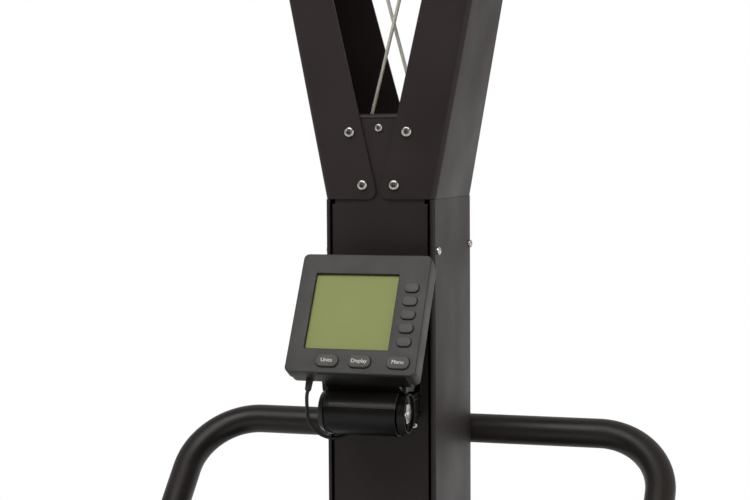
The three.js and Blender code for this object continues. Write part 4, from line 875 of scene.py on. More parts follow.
# Rows of round-cornered loops (width, height, radius, centre, depth), each square to the face
def loopSurface(name, rows, closeRows=False, angle=None):
    loops = [roundLoop(*row[:3], monitor["steps"], row[3]) for row in rows]
    grid = fromFace(layersAt("y", [row[4] for row in rows], *loops))
    piece = tidyMesh(gridSurface(name, grid * mm, closeRows=closeRows, capEnds=not closeRows))
    if angle:
        smoothByAngle(piece, angle)
    return piece


# Rounded edge: inset and depth follow a quarter circle of the given size
def edgeRows(size, steps, inward):
    turn = np.linspace(0, np.pi / 2, steps)
    inset = size * (1 - np.sin(turn)) if inward else size * (1 - np.cos(turn))
    depth = size * (1 - np.cos(turn)) if inward else size * (1 - np.sin(turn))
    return list(zip(inset, depth))


# Node, size and place (x, z) of every key: the column of small ones from the top, then the row of wide ones
def keyPlaces():
    top = keys["columnMiddle"] + (keys["count"] - 1) / 2 * keys["pitch"]
    places = [(f"side_key_{i + 1}", keys["small"], keys["columnX"], top - i * keys["pitch"])
              for i in range(keys["count"])]
    return places + [(f"lower_key_{i + 1}", keys["wide"], x, keys["rowZ"])
                     for i, x in enumerate(keys["rowX"])]


# Front case: from the window's edge over the rounded rim, down the side and back up inside, with key holes
def makeFrontCase():
    w, h, r = monitor["width"], monitor["height"], monitor["corner"]
    wx, wz, ww, wh, wr = monitor["window"]
    step, depth, face, middle = monitor["step"], monitor["frontDepth"], monitor["face"], (0, 0)
    rows = [(ww + 0.4, wh + 0.4, wr, (wx, wz), face), (ww, wh, wr, (wx, wz), face - 0.3)]
    for inset, d in edgeRows(monitor["windowBevel"], 5, False):
        rows.append((ww + 2 * inset, wh + 2 * inset, wr + inset, (wx, wz), d))
    for inset, d in edgeRows(monitor["bevel"], 8, True):
        rows.append((w - 2 * inset, h - 2 * inset, r - inset * 0.5, middle, d))
    rows += [(w, h, r, middle, depth - step - 1.0), (w - 0.5, h - 0.5, r, middle, depth - step),
             (w - 2 * step + 0.6, h - 2 * step + 0.6, r - 1, middle, depth - 0.4),
             (w - 2 * step, h - 2 * step, r - 1, middle, depth)]
    inner = 2 * (monitor["wall"] + step)
    rows += [(w - inner, h - inner, r - 3, middle, depth), (w - inner, h - inner, r - 3, middle, face)]
    piece = loopSurface("monitorFront", rows, closeRows=True)
    cutters = []
    for name, (kw, kh, kr), x, z in keyPlaces():
        gap = keys["gap"]
        hole = (kw + 2 * gap, kh + 2 * gap, kr + gap, (x, z))
        cutters.append(loopSurface("keyCutter", [(*hole, -2), (*hole, 8)]))
    cutWith(piece, *cutters)
    smoothByAngle(piece, 30)
    addBevel(piece, monitor["edge"], 2, 30)
    return piece


# Key: a flange inside the case, a rounded edge and a crown that rises by a sine towards the middle
def makeKey(name, size, x, z):
    w, h, r = size
    proud, edge = keys["proud"], keys["edge"]
    wider, rounder = keys["flange"]
    flange = (w + wider, h + wider, r + rounder, (x, z))
    rows = [(*flange, 5.6), (*flange, 4.4), (w, h, r, (x, z), 4.2)]
    for inset, d in edgeRows(edge, 6, True)[::-1]:
        rows.append((w - 2 * inset, h - 2 * inset, r - inset, (x, z), d - proud))
    for share in np.linspace(0, 1, 5)[1:]:
        inset = edge + share * (h / 2 - edge - 0.4)
        rise = keys["crown"] * math.sin(share * math.pi / 2)
        rows.append((w - 2 * inset, h - 2 * inset, max(r - inset, 0.2), (x, z), -proud - rise))
    return loopSurface(name.replace("_", "") + "Cap", rows, angle=40)


# Key's word: flat text made a mesh, then laid on the crown
def makeKeyWord(word, name, x, z):
    curve = bpy.data.curves.new("word" + word, "FONT")
    curve.body = word
    curve.size = keys["text"]
    curve.align_x = "CENTER"
    curve.align_y = "CENTER"
    curve.extrude = keys["textThick"]
    holder = bpy.data.objects.new("word" + word, curve)
    bpy.context.collection.objects.link(holder)
    graph = bpy.context.evaluated_depsgraph_get()
    mesh = bpy.data.meshes.new_from_object(holder.evaluated_get(graph))
    bpy.data.objects.remove(holder)
    points = np.empty(len(mesh.vertices) * 3)
    mesh.vertices.foreach_get("co", points)
    points = points.reshape(-1, 3)
    depth = -keys["proud"] - keys["crown"] - points[:, 2]
    placed = np.column_stack([points[:, 0] + x, depth, points[:, 1] + z])
    mesh.vertices.foreach_set("co", (fromFace(placed) * mm).ravel())
    mesh.update()
    piece = bpy.data.objects.new("word" + word, mesh)
    bpy.context.collection.objects.link(piece)
    tidyMesh(piece)
    dress(piece, markWhite, body=bodyOfNode[name], slot="key_plastic")


dress(makeFrontCase(), casePlastic, "monitor_front_case")
for name, size, x, z in keyPlaces():
    dress(makeKey(name, size, x, z), keyPlastic, name)
for word, x, number in zip(keys["words"], keys["rowX"], (1, 2, 3)):
    makeKeyWord(word, f"lower_key_{number}", x, keys["rowZ"])


# Window: a dark mask with the crystal set in it
def makeWindow():
    wx, wz, ww, wh, wr = monitor["window"]
    mask = [(ww + 6, wh + 6, 3, (wx, wz), 6.3), (ww + 6, wh + 6, 3, (wx, wz), 4.5),
            (ww + 5.6, wh + 5.6, 2.8, (wx, wz), 4.3)]
    dress(loopSurface("displayPanel", mask, angle=30), deepBlack, "monitor_window", slot="display")
    crystal = [(ww - 0.3, wh - 0.3, 0.6, (wx, wz), depth) for depth in (4.6, 4.18)]
    dress(loopSurface("displayCrystal", crystal, angle=30), displayGlass, body="monitor", slot="display")


makeWindow()

# Battery cover: width, height, corner and place up the back; grip bars below its top edge
cover = {"size": (96, 44, 5), "z": 26, "rise": 0.7, "edge": 0.4, "grips": 5, "gripZ": 40, "gripPitch": 2.6}
caseScrews = {"x": 58, "z": 52, "sink": 1.2, "size": 6.0}


# Back case: straight sides, then a dish whose inset and depth follow a quarter ellipse; lid and screws on it
def makeBackCase():
    w, h, r, step = monitor["width"], monitor["height"], monitor["corner"], monitor["step"]
    start, straight, rear = monitor["frontDepth"] + 0.3, monitor["straight"], monitor["backDepth"]
    rows = [(w - 2 * step, h - 2 * step, r, (0, 0), depth) for depth in (start, start + 0.6)]
    rows.append((w - 2 * step - 0.8, h - 2 * step - 0.8, r, (0, 0), straight))
    for turn in np.linspace(0.15, 1, 8) * math.pi / 2:
        inset = step + 0.4 + monitor["bulge"] * (1 - math.cos(turn))
        depth = straight + (rear - straight) * math.sin(turn)
        rows.append((w - 2 * inset, h - 2 * inset, r - 1, (0, 0), depth))
    dress(loopSurface("monitorBack", rows, angle=30), casePlastic, "monitor_back_case")

    (cw, ch, cr), centre, rise, edge = cover["size"], (0, cover["z"]), cover["rise"], cover["edge"]
    rows = [(cw, ch, cr, centre, rear - 0.6), (cw, ch, cr, centre, rear + rise),
            (cw - 1.4, ch - 1.4, cr - 0.6, centre, rear + rise + edge)]
    dress(loopSurface("batteryCover", rows, angle=30), casePlastic, body="monitor", slot="grey_plastic")
    tilt = math.radians(monitor["tilt"])
    inward = (0, math.cos(tilt), -math.sin(tilt))
    for number, (x, z) in enumerate(((-1, 1), (1, 1), (-1, -1), (1, -1))):
        spot = fromFace([[x * caseScrews["x"], rear - caseScrews["sink"], z * caseScrews["z"]]])[0]
        buttonScrew(f"caseScrew{number + 1}", spot, inward, caseScrews["size"], "monitor", darkSteel)
    for number in range(cover["grips"]):
        centre = (0, cover["gripZ"] - number * cover["gripPitch"])
        bar = [(26, 1.2, 0.6, centre, rear + 0.9), (25.4, 0.8, 0.4, centre, rear + 1.6)]
        dress(loopSurface(f"batteryGrip{number + 1}", bar), casePlastic, body="monitor", slot="grey_plastic")


makeBackCase()
say("monitor made")

# Barrel of the monitor's arm: a split sleeve between two end caps on the bracket.
# Sleeve half: radius R(x) on the outside from one angle to the other, and a plain bore inside.
barrel = {"y": 204.0, "z": 1010.5, "radius": 26.6, "upper": (28.3, 44.3), "lower": (27.7, 43.5), "bore": 12.0,
          "round": 1.0, "parting": 17.0, "play": 0.8, "turnSteps": 56, "edge": 0.5, "inner": 45.0,
          "floor": 46.6, "lip": 0.9, "rim": 1.8, "end": 23.4, "ends": (52.2, 54.2), "nut": (22.4, 5.4, 1.0)}


def sleeveHalf(name, start, end, radius, half):
    steps, round_ = barrel["turnSteps"], barrel["round"]
    corner = round_ * (1 - np.cos(np.linspace(0, np.pi / 2, 5)))
    x = np.concatenate([-half + corner, np.linspace(-half * 0.8, half * 0.8, 5), half - corner[::-1]])
    edge = np.clip(np.abs(x) - (half - round_), 0, round_)
    outer = radius - round_ + np.sqrt(round_ ** 2 - edge ** 2)
    turn = np.radians(np.linspace(start, end, steps))
    angle = np.concatenate([turn, turn[::-1]])[None]
    bore = np.full((len(x), steps), barrel["bore"])
    r = np.concatenate([np.repeat(outer[:, None], steps, axis=1), bore], axis=1)
    grid = np.stack([x[:, None] + 0 * angle, barrel["y"] - r * np.cos(angle),
                     barrel["z"] + r * np.sin(angle)], -1)
    return layeredPiece(name, grid, 30, barrel["edge"])


parting, above = barrel["parting"], barrel["parting"] + barrel["play"]
# The upper half's lighter plastic is painted light
dress(sleeveHalf("barrelUpper", above, 180 - above, *barrel["upper"]), sleevePaintedLightPlastic, "monitor_arm")
dress(sleeveHalf("barrelLower", -180 - parting, parting, *barrel["lower"]), blackPlastic, "pivot_sleeve")


# End cap: a short cup whose rim tapers outwards, with a dark well, a nut and the pivot's end in it
def makeBarrelCaps():
    radius, end, rim = barrel["radius"], barrel["end"], barrel["rim"]
    inner, floor, lip = barrel["inner"], barrel["floor"], barrel["lip"]
    middle = (0, barrel["y"], barrel["z"])
    wellEnd = end - rim - 0.2
    well = [[floor + 0.1, 14.0], [floor + 0.5, 14.0], [floor + 0.5, wellEnd], [floor + 0.1, wellEnd]]
    tip = [[floor, 5.2], [floor + 6.4, 5.2], [floor + 7.2, 4.4], [floor + 7.2, 0.05], [floor, 0.05]]
    for (sideName, side), half in zip(bothSides, barrel["ends"]):
        turn = np.diag([side, 1.0, 1.0])
        profile = np.vstack([
            [[inner, 7.0], [inner, radius - 1.2], [inner + 0.3, radius - 0.6], [inner + 1.0, radius - 0.2]],
            arcPoints((half - 0.8, end - 0.8), 0.8, 75, 0, 5),
            arcPoints((half - 0.5, end - rim + 0.5), 0.5, 0, -90, 4),
            [[floor + 0.8, end - rim], [floor, end - rim - 0.8], [floor, 15.0], [floor + lip, 14.4],
             [floor + lip, 7.0]]])
        turnedPiece("barrelCap" + sideName, profile, middle, blackPlastic, "monitor_bracket", segments=96,
                    turn=turn, angle=32)
        turnedPiece("capWell" + sideName, well, middle, deepBlack, segments=96, turn=turn, body="frame",
                    slot="black_plastic")
        hexBolt("pivotNut" + sideName, (side * (floor + lip), *middle[1:]), (side, 0, 0), *barrel["nut"])
        turnedPiece("pivotEnd" + sideName, tip, middle, zincSteel, "pivot_bolt", segments=32, turn=turn)


makeBarrelCaps()


# Bracket on the column: back plate, two cheeks and ribs between them and the plate
bracket = {"y": (262.0, 266.95), "plate": (104, 48, 5), "plateZ": 1022, "plateEdge": 0.9, "cheekX": 48.2,
           "cheekSheet": 6.0, "ribX": (50.8, 53.0, 51.8), "ribZ": (1003.5, 1022.5), "ribSheet": 1.5,
           "screw": (24, 1038, 9.0), "lowScrew": (42.0, 986.5, 8.0)}


# Flat piece: its corners set out by half its thickness both ways along a direction
def plateBetween(name, corners, thickness, direction, edge=0.8):
    corners = np.array(corners, float)
    offset = np.array(direction, float) * thickness / 2
    return layeredPiece(name, [corners - offset, corners + offset], 25, edge, 3, 25)


# Bracket: the plate on the column, and on each side a cheek, two ribs and two screws
def makeBracket():
    front, back = bracket["y"]
    layers = layersAt("y", (front, back), roundLoop(*bracket["plate"], 6, (0, bracket["plateZ"])))
    plate = layeredPiece("bracketPlate", layers, edge=bracket["plateEdge"], segments=3)
    dress(plate, blackPlastic, "monitor_bracket")
    y, z, r = barrel["y"], barrel["z"], barrel["radius"]
    outline = [(y + 2, z - r + 3), (front + 1, 998.5), (front + 1, 1031), (y + 16, z + 17.5),
               (y + 2, z + r - 4)]
    near, far, taper = bracket["ribX"]
    ribOutline = [(near, front + 0.5), (far, front + 0.5), (taper, y + 21), (near, y + 19)]
    for sideName, side in bothSides:
        cheek = [(side * bracket["cheekX"], *corner) for corner in outline]
        dress(plateBetween("bracketCheek" + sideName, cheek, bracket["cheekSheet"], (1, 0, 0)), blackPlastic,
              "monitor_bracket")
        for number, height in enumerate(bracket["ribZ"]):
            rib = [(side * across, depth, height) for across, depth in ribOutline]
            name = f"bracketRib{sideName}{number + 1}"
            dress(plateBetween(name, rib, bracket["ribSheet"], (0, 0, 1), 0.3), blackPlastic, body="frame",
                  slot="black_plastic")
        for name, wall, (across, height, size) in (("bracketScrew", front, bracket["screw"]),
                                                   ("bracketScrewLow", panel["front"], bracket["lowScrew"])):
            buttonScrew(name + sideName, (side * across, wall, height), forwards, size)


makeBracket()


# Neck: a profile in the side plane carried across, wide above the end caps and narrow between them
def makeNeck():
    tilt = math.radians(monitor["tilt"])

    def face(up, depth):
        return (monitor["centre"][1] + depth * math.cos(tilt) + up * math.sin(tilt),
                monitor["centre"][2] - depth * math.sin(tilt) + up * math.cos(tilt))

    back = monitor["backDepth"] + 0.3
    y, z, radius = barrel["y"], barrel["z"], barrel["radius"]
    front, rear = y - 3.0, y + 19.95
    hug = arcPoints((y, z), radius + 1.2, 110, 76, 8)
    above = [(rear, 1034.0), (rear + 14.0, 1042.0), face(-28, back + 12), face(-28, back), face(-50, back)]
    ears = [*arcPoints((y, z), radius - 0.6, 110, 76, 8), *above]
    chin = [(200.0, 1033.0), (203.0, 1060.0), face(-50, back + 2), face(-62, back), face(-75.4, 29.0)]
    shapes = {
        "neckRoot": (-42.8, 42.8, [(front, z + 18), (rear, z + 14), (rear, 1046.0), (front, 1046.0)]),
        "neckUpper": (-50.4, 53.0, [*hug, *above]),
        "neckChin": (-41.0, 50.0, chin),
        "neckPad": (-48.6, 48.6, [face(-58, back), face(-54, back + 8), face(-18, back + 8),
                                  face(-14, back)]),
    }
    for name, (left, right, points) in shapes.items():
        places, loops = (left, right), (points, points)
        if name == "neckUpper":      # its two ends reach down over the tapered caps
            places = (left, left + 3.2, left + 3.4, right - 3.4, right - 3.2, right)
            loops = (ears, ears, points, points, ears, ears)
        dress(layeredPiece(name, layersAt("x", places, *loops), 25, 1.0, 3, 25), blackPlastic, "monitor_arm")
    # Saddle: a black sheet on the case's underside round the neck, painted shade where the underside lies in
    # shade
    shadeSaddle = [(106 - 2 * inset, 2.0 - 2 * inset, 0.9 - inset, (15, -76.1), depth)
              for inset, depth in ((0.6, 3.0), (0.1, 3.4), (0.0, 4.0), (0.0, 33.0), (0.6, 34.0))]
    dress(loopSurface("neckPaintedShadeSaddle", shadeSaddle, angle=30), blackPlastic, body="monitor", slot="black_plastic")


makeNeck()

# Monitor cable and its boot: the same route as the model's, smoothed, from the case to the column's hole
cable = {"radius": 2.1, "sides": 18, "samples": 90, "straight": (15.5, 22.5), "blendRings": (4, -14),
         "route": ((-55.5, -110, -240), (-56.5, -100, -257), (-50.5, -84, -273), (-40, -66, -281.5),
                   (-32, -48, -281), (-26, -28, -277), (-22.5, -10, -273), (-22, 2.5, -272),
                   (-22, 9.8, -272))}
boot = {"place": (-54.5, 24.5, -74.05), "length": 15.7, "radius": 4.5, "taper": 0.9, "tip": 1.2,
        "tipFrom": 0.85}
bootSocket = [[-1.0, 7.4], [0.5, 7.4], [0.9, 6.9], [0.9, 5.0], [-1.0, 5.0]]


# Cable: leaves the boot straight, then follows the route between the monitor and the column
def makeCable():
    x, y, z = boot["place"]
    straight = fromFace([[x, y, z - drop] for drop in cable["straight"]])
    rest = np.array(cable["route"], float) + np.array([0, machine["frontY"], machine["seamZ"]])
    path = smoothPath(np.vstack([straight, rest]), cable["samples"])
    piece = sweep("monitorCable", path, circleSection(cable["radius"], cable["sides"]), (1, 0.2, 0.1))
    piece.data.materials.append(cableSkin)
    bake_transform(piece)
    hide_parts("monitor_cable")

    # Boot: a tapered collar that closes on the cable, radius = foot - taper s - tip past 85 % squared
    along = np.linspace(0, boot["length"], 61)
    share = along / boot["length"]
    closing = np.clip((share - boot["tipFrom"]) / (1 - boot["tipFrom"]), 0, 1) ** 2
    radius = boot["radius"] - boot["taper"] * share - boot["tip"] * closing
    profile = np.vstack([[[0.2, 0.05]], np.column_stack([along, radius]), [[boot["length"], 0.05]]])
    place, below = fromFace([boot["place"], (x, y, z - 1)])
    onCase = {"segments": 40, "turn": frameTo(below - place), "body": "monitor"}
    turnedPiece("cableBoot", profile, place, rubber, angle=60, slot="rubber", **onCase)
    turnedPiece("cableSocket", bootSocket, place, casePlastic, slot="grey_plastic", **onCase)


makeCable()
say("monitor arm and cable made")

# Fan wheel: hub, web and rim ring in one profile, and flat blades set round it
fan = {"radius": 188.0, "ring": 10.0, "ringHalf": 5, "hub": 24.0, "hubHalf": 48.0, "web": 1.5, "bore": 8.8,
       "segments": 144, "blades": 12, "bladeHalf": 42.0, "bladeFrom": 60.0, "bladeTo": 183.0,
       "bladeSheet": 1.6}
axleY, axleZ = machine["axle"]
axlePlace = (0, axleY, axleZ)


# Rows of a profile that is the same both ways from the middle, given for the positive side, bore first
def bothWays(rows):
    return [[-along, radius] for along, radius in rows] + rows[::-1]


# Wheel profile from the bore over the hub, down to the web and out to the rim; a blade is a flat plate
def makeFan():
    ring, edge, web, hub = fan["radius"] - fan["ring"], fan["radius"], fan["web"], fan["hub"]
    half, rimHalf = fan["hubHalf"], fan["ringHalf"]
    profile = bothWays([
        [half, fan["bore"]], [half, hub - 2], [half - 2, hub], [web + 8, hub], [web + 2.4, hub + 1.6],
        [web, hub + 8], [web, ring - 3], [web + 0.9, ring - 0.9], [rimHalf - 0.4, ring],
        [rimHalf, ring + 0.6], [rimHalf, edge - 1], [rimHalf - 1, edge]])
    turnedPiece("fanWheel", profile, axlePlace, brushedSteel, "flywheel_fan", segments=fan["segments"],
                angle=30)

    # Blade outline: (across, outward), cut away towards the hub and at its outer corners
    wide, root, tip = fan["bladeHalf"], fan["bladeFrom"], fan["bladeTo"]
    outline = np.array([[-wide, root + 10], [-web, root], [web, root], [wide, root + 10], [wide, tip - 7],
                        [wide - 5, tip], [5 - wide, tip], [-wide, tip - 7]], float)
    for number in range(fan["blades"]):
        angle = 2 * math.pi * number / fan["blades"]
        out = np.array([0, math.cos(angle), math.sin(angle)])
        across = np.array([0, -math.sin(angle), math.cos(angle)]) * fan["bladeSheet"] / 2
        flat = outline[:, :1] * np.array([1.0, 0, 0]) + outline[:, 1:] * out + np.array(axlePlace)
        blade = layeredPiece(f"fanBlade{number + 1:02d}", [flat - across, flat + across], 30, 0.5)
        dress(blade, brushedSteel, "flywheel_fan")


makeFan()

# Cage: dished shells with slots left out of their grid, a slotted rim and a shutter disc.
# Shell point at (s, t): along and radius follow the dish's profile at s, turned by t; cells in a slot are
# dropped.
cage = {"radius": 205.0, "half": 62.0, "sheet": 2.0, "corner": 12.0, "shellGap": 2.3, "flange": 26.0,
        "hub": 40.0, "slotInner": 66.0, "slotOuter": 138.0, "slotShare": 0.5, "leftSlots": 15, "windows": 10,
        "rimSlots": 18, "rimShare": 0.56, "rimHalf": 48.0, "rimGap": 34.0, "rimEdge": 0.8,
        "screws": 6, "screwRadius": 178, "screw": 8.5, "topScrew": 1}
shutter = {"inner": 56.0, "outer": 148.0, "near": 62.6, "far": 64.6, "lever": 205.0, "leverEnd": 216.0,
           "leverWidth": 16.0, "knobIn": 9, "knob": ((-1, 0.05), (-1, 6.0), (4, 5.2), (8, 6.2), (10, 7.6),
                                                     (13, 7.9), (15, 7.0), (16, 5.0), (16.2, 0.05))}


# A turned sheet with count slots in the rows from slotRows[0] to slotRows[1], each over a share of its step
def slottedTurn(name, profile, sheet, count, slotRows, share, turn, perSlot=16):
    profile = np.array(profile, float)
    columns = count * perSlot
    angle = np.arange(columns) / columns * 2 * np.pi - 2 * np.pi / count * share / 2
    grid = np.empty((len(profile), columns, 3))
    grid[..., 0] = profile[:, :1]
    grid[..., 1] = profile[:, 1:] * np.cos(angle)
    grid[..., 2] = profile[:, 1:] * np.sin(angle)
    grid = grid @ turn + np.array(axlePlace)
    row = np.arange(len(profile) - 1)[:, None]
    j = np.arange(columns)[None, :]
    i, nextJ = row * columns, (j + 1) % columns
    cells = np.stack([i + j, i + nextJ, i + columns + nextJ, i + columns + j], -1)
    open_ = (row >= slotRows[0]) & (row < slotRows[1]) & (j % perSlot < round(perSlot * share))
    faces = cells[~open_].tolist()
    piece = meshObject(name, (grid.reshape(-1, 3) * mm).tolist(), faces)
    tidyMesh(piece)
    solid = piece.modifiers.new("sheet", "SOLIDIFY")
    solid.thickness = sheet * mm
    solid.offset = -1
    solid.use_even_offset = True
    applyModifiers(piece)
    tidyMesh(piece)
    smoothByAngle(piece)
    return piece


# Shell profile: flat from the hub out, a quarter circle, then the flange
def shellProfile():
    flat, corner, half = cage["radius"] - cage["shellGap"], cage["corner"], cage["half"]
    edge = arcPoints((flat - corner, half - corner), corner, 90, 0, 8)[:, ::-1]
    radii = [cage["hub"], 43, 52, 56, cage["slotInner"], 90, 114, cage["slotOuter"], 144, 160, 176,
             flat - corner - 1]
    return [[half, r] for r in radii] + edge.tolist() + [[half - cage["flange"], flat]]


# Both shells with their hub rings and screws, and the slotted rim between them
def makeCage():
    hubRing = arcPoints((cage["half"] - 1.0, cage["hub"] + 0.6), 1.9, 0, 360, 12)[:-1]
    for (sideName, side), count in zip(bothSides, (cage["leftSlots"], cage["windows"])):
        turn = np.diag([side, 1.0, 1.0])
        shell = slottedTurn("cageShell" + sideName, shellProfile(), cage["sheet"], count, (4, 7),
                            cage["slotShare"], turn)
        dress(shell, powderCoat, f"cage_{sideName.lower()}_shell")
        turnedPiece("cageHubLip" + sideName, hubRing, axlePlace, powderCoat, segments=96, turn=turn, angle=60,
                    body="frame", slot="black_coat")
        for number in range(cage["screws"]):
            if number == cage["topScrew"]:      # the strap's own bolt is there
                continue
            angle = math.radians(30 + 360 / cage["screws"] * number)
            spot = np.array(axlePlace) + np.array([side * cage["half"], cage["screwRadius"] * math.cos(angle),
                                                   cage["screwRadius"] * math.sin(angle)])
            buttonScrew(f"cageScrew{sideName}{number + 1}", spot, (side, 0, 0), cage["screw"])
    radius, half, gap, edge = cage["radius"], cage["rimHalf"], cage["rimGap"], cage["rimEdge"]
    rim = [[-half, radius - edge], [-half + edge, radius]]
    rim += [[gap * share, radius] for share in (-1, -0.5, 0, 0.5, 1)]
    rim += [[half - edge, radius], [half, radius - edge]]
    c, s = math.cos(math.pi / cage["rimSlots"]), math.sin(math.pi / cage["rimSlots"])
    turn = np.array([[1, 0, 0], [0, c, s], [0, -s, c]], float)      # half a slot round
    band = slottedTurn("cageRim", rim, cage["sheet"], cage["rimSlots"], (2, 6), cage["rimShare"], turn)
    dress(band, powderCoat, "cage_rim")


makeCage()


# Shutter disc behind its windows, with a lever that ends in a round knob
def makeShutter():
    near, far, end = shutter["near"], shutter["far"], shutter["leverEnd"]
    radii = (shutter["inner"], 59, 62, cage["slotInner"], 90, 114, cage["slotOuter"], 142, 145,
             shutter["outer"])
    disc = slottedTurn("shutterDisc", [[far, r] for r in radii], far - near, cage["windows"], (3, 6),
                       cage["slotShare"], np.eye(3))
    dress(disc, casePlastic, "damper_disc")
    angle = math.radians(shutter["lever"])
    out = np.array([0, math.cos(angle), math.sin(angle)])
    across = np.array([0, -math.sin(angle), math.cos(angle)])
    width = shutter["leverWidth"] / 2
    edge = [(140, width + 5), (152, width), (end - 8, width - 1.5), (end, width - 5)]
    loop = [(a, -b) for a, b in edge] + edge[::-1]
    flat = np.array([out * a + across * b + np.array(axlePlace) for a, b in loop])
    layers = [flat + np.array([along, 0, 0]) for along in (near + 0.05, far + 0.6)]
    dress(layeredPiece("shutterLever", layers, 35, 0.8, 3, 25), casePlastic, "damper_disc")
    knob = revolve("shutterKnob", [[far + along, radius] for along, radius in shutter["knob"]],
                   np.array(axlePlace) + out * (end - shutter["knobIn"]), segments=40)
    smoothByAngle(knob, 50)
    addBevel(knob, 0.6, 3, 40)
    dress(knob, keyPlastic, "damper_disc", slot="grey_plastic")


makeShutter()
say("fan and cage made")

# Axle, its seats, and the drums: one profile of steps each, turned round the axle
axle = {"radius": 8.5, "chamfer": 1.2, "gap": 3, "grooves": (106, 105.4, 104, 103.4), "grooveDeep": 0.8,
        "seatEdge": 0.8, "seatDrop": 36, "seatFlange": 8, "boltRadius": 19.4, "bolt": (6.5, 3.6, 0.8),
        "boltSink": 0.2}
drum = {"drive": 159.998, "spacing": 41.0, "driveHalf": 12.0, "returnHalf": 8.0, "driveCore": 25.7,
        "returnCore": 17.7, "driveFlange": 36.0, "returnFlange": 23.7, "side": 3.0, "bore": 8.8, "neck": 13.1}
wound = {"turns": 4, "pitch": 4.1, "from": 2.2, "middle": 28.0, "radius": 1.98, "sides": 12}


# Drum profile: the small return groove, a neck, then the wide drive groove and a recess in the outer face
def drumProfile():
    side, bore, neck = drum["side"], drum["bore"], drum["neck"]
    core, flange, small, smallFlange = (drum[key] for key in
                                        ("driveCore", "driveFlange", "returnCore", "returnFlange"))
    d0, d1 = drum["drive"] - drum["driveHalf"], drum["drive"] + drum["driveHalf"]
    r0 = drum["drive"] - drum["spacing"] - drum["returnHalf"]
    r1 = r0 + 2 * drum["returnHalf"]
    returnGroove = [[r0 - side, bore], [r0 - side, smallFlange - 0.8], [r0 - side + 0.8, smallFlange],
                    [r0 - 0.8, smallFlange], [r0, smallFlange - 0.8], [r0 + 0.2, small + 1],
                    [r0 + 1.2, small], [r1 - 1.2, small], [r1 - 0.2, small + 1], [r1, smallFlange - 0.8],
                    [r1 + 0.8, smallFlange], [r1 + side - 0.8, smallFlange],
                    [r1 + side, smallFlange - 0.8], [r1 + side, neck + 1.4]]
    between = [[r1 + side + 1.5, neck], [d0 - side - 1.5, neck], [d0 - side, neck + 1.5]]
    driveGroove = [[d0 - side, flange - 1], [d0 - side + 1, flange], [d0 - 1, flange], [d0, flange - 1],
                   [d0 + 0.3, core + 1.5], [d0 + 1.8, core], [d1 - 1.8, core], [d1 - 0.3, core + 1.5],
                   [d1, flange - 1], [d1 + 1, flange], [d1 + side - 1, flange], [d1 + side, flange - 1]]
    recess = [[d1 + side, 22], [d1 + side - 1, 21], [d1 + side - 1, 15], [d1 + side, 14], [d1 + side, bore]]
    return returnGroove + between + driveGroove + recess


# Wound cord: a helix of turns side by side in the drive groove, one turn for each pitch along x
def makeWoundCord(sideName, side):
    turns, start = wound["turns"], drum["drive"] - drum["driveHalf"] + wound["from"]
    x = np.linspace(start, start + turns * wound["pitch"], turns * 14 + 1)
    phase = (x - start) / wound["pitch"] * 2 * np.pi
    path = np.column_stack([side * x, axleY + wound["middle"] * np.cos(phase),
                            axleZ + wound["middle"] * np.sin(phase)])
    piece = sweep("woundCord" + sideName, smoothPath(path, turns * 60),
                  circleSection(wound["radius"], wound["sides"]), (1, 0.02, 0.03))
    dress(piece, braidedCord, body="drum_" + sideName.lower(), slot="cord")


# Axle with a clip groove on each side, its seats and their bolts, then the drums
def makeAxle():
    end, radius, chamfer = armInner(axleZ - machine["seamZ"]) - axle["gap"], axle["radius"], axle["chamfer"]
    deep = radius - axle["grooveDeep"]
    half = [[end, 0.05], [end, radius - chamfer], [end - chamfer, radius]]
    half += zip(axle["grooves"], (radius, deep, deep, radius))
    turnedPiece("axleBar", bothWays(half), axlePlace, brushedSteel, "flywheel_axle", segments=48)
    seat = armInner(axleZ - machine["seamZ"] - axle["seatDrop"]) - axle["seatFlange"] + axle["boltSink"]
    for sideName, side in bothSides:
        name = sideName.lower()
        dressedCopy("axle_seat_" + name, "axleSeat" + sideName, darkSteel, axle["seatEdge"], 2, 40)
        for number in range(3):
            angle = math.radians(90 + 120 * number)
            spot = (side * seat, axleY + axle["boltRadius"] * math.cos(angle),
                    axleZ + axle["boltRadius"] * math.sin(angle))
            hexBolt(f"seatBolt{sideName}{number + 1}", spot, (-side, 0, 0), *axle["bolt"])
        turnedPiece("driveDrum" + sideName, drumProfile(), axlePlace, blackPlastic, "drive_drum_" + name,
                    segments=72, turn=np.diag([side, 1.0, 1.0]), angle=32)
        makeWoundCord(sideName, side)


makeAxle()

# Pulleys: a web, a rim and a V groove in one profile; the top ones lean with the arms
pulley = {"pitch": 30.0, "flange": 34.0, "width": 14.0, "groove": 5.0, "bore": 5.3, "x": 197.822, "y": 259.0,
          "z": 2120.0, "guidePitch": 15.0, "guideFlange": 17.5, "guideWidth": 10.0, "guideX": 42.7,
          "guideZ": 1240.0, "guideY": (322.0, 347.313), "forkBolt": (11, 4.6, 1.0), "forkHalf": 11.6}
lean = math.atan(machine["splay"])


# Pulley profile from the bore: hub, web, rim, flange, then down into the groove
def grooveProfile(pitch, flange, width):
    groove, bore = pulley["groove"], pulley["bore"]
    bottom = pitch - machine["cord"] / 2 - 0.3
    half, web = width / 2, width / 4
    return bothWays([
        [half, bore], [half, bore + 3.4], [half - 0.8, bore + 4.2], [web, bore + 5.0], [web, bottom - 5.5],
        [half - 0.9, bottom - 4.2], [half, bottom - 3.2], [half, bottom], [half - 0.3, flange - 1.0],
        [half - 0.9, flange], [half - 1.5, flange - 0.7], [groove / 2 + 0.4, bottom + 0.8],
        [groove / 2 - 0.6, bottom]])


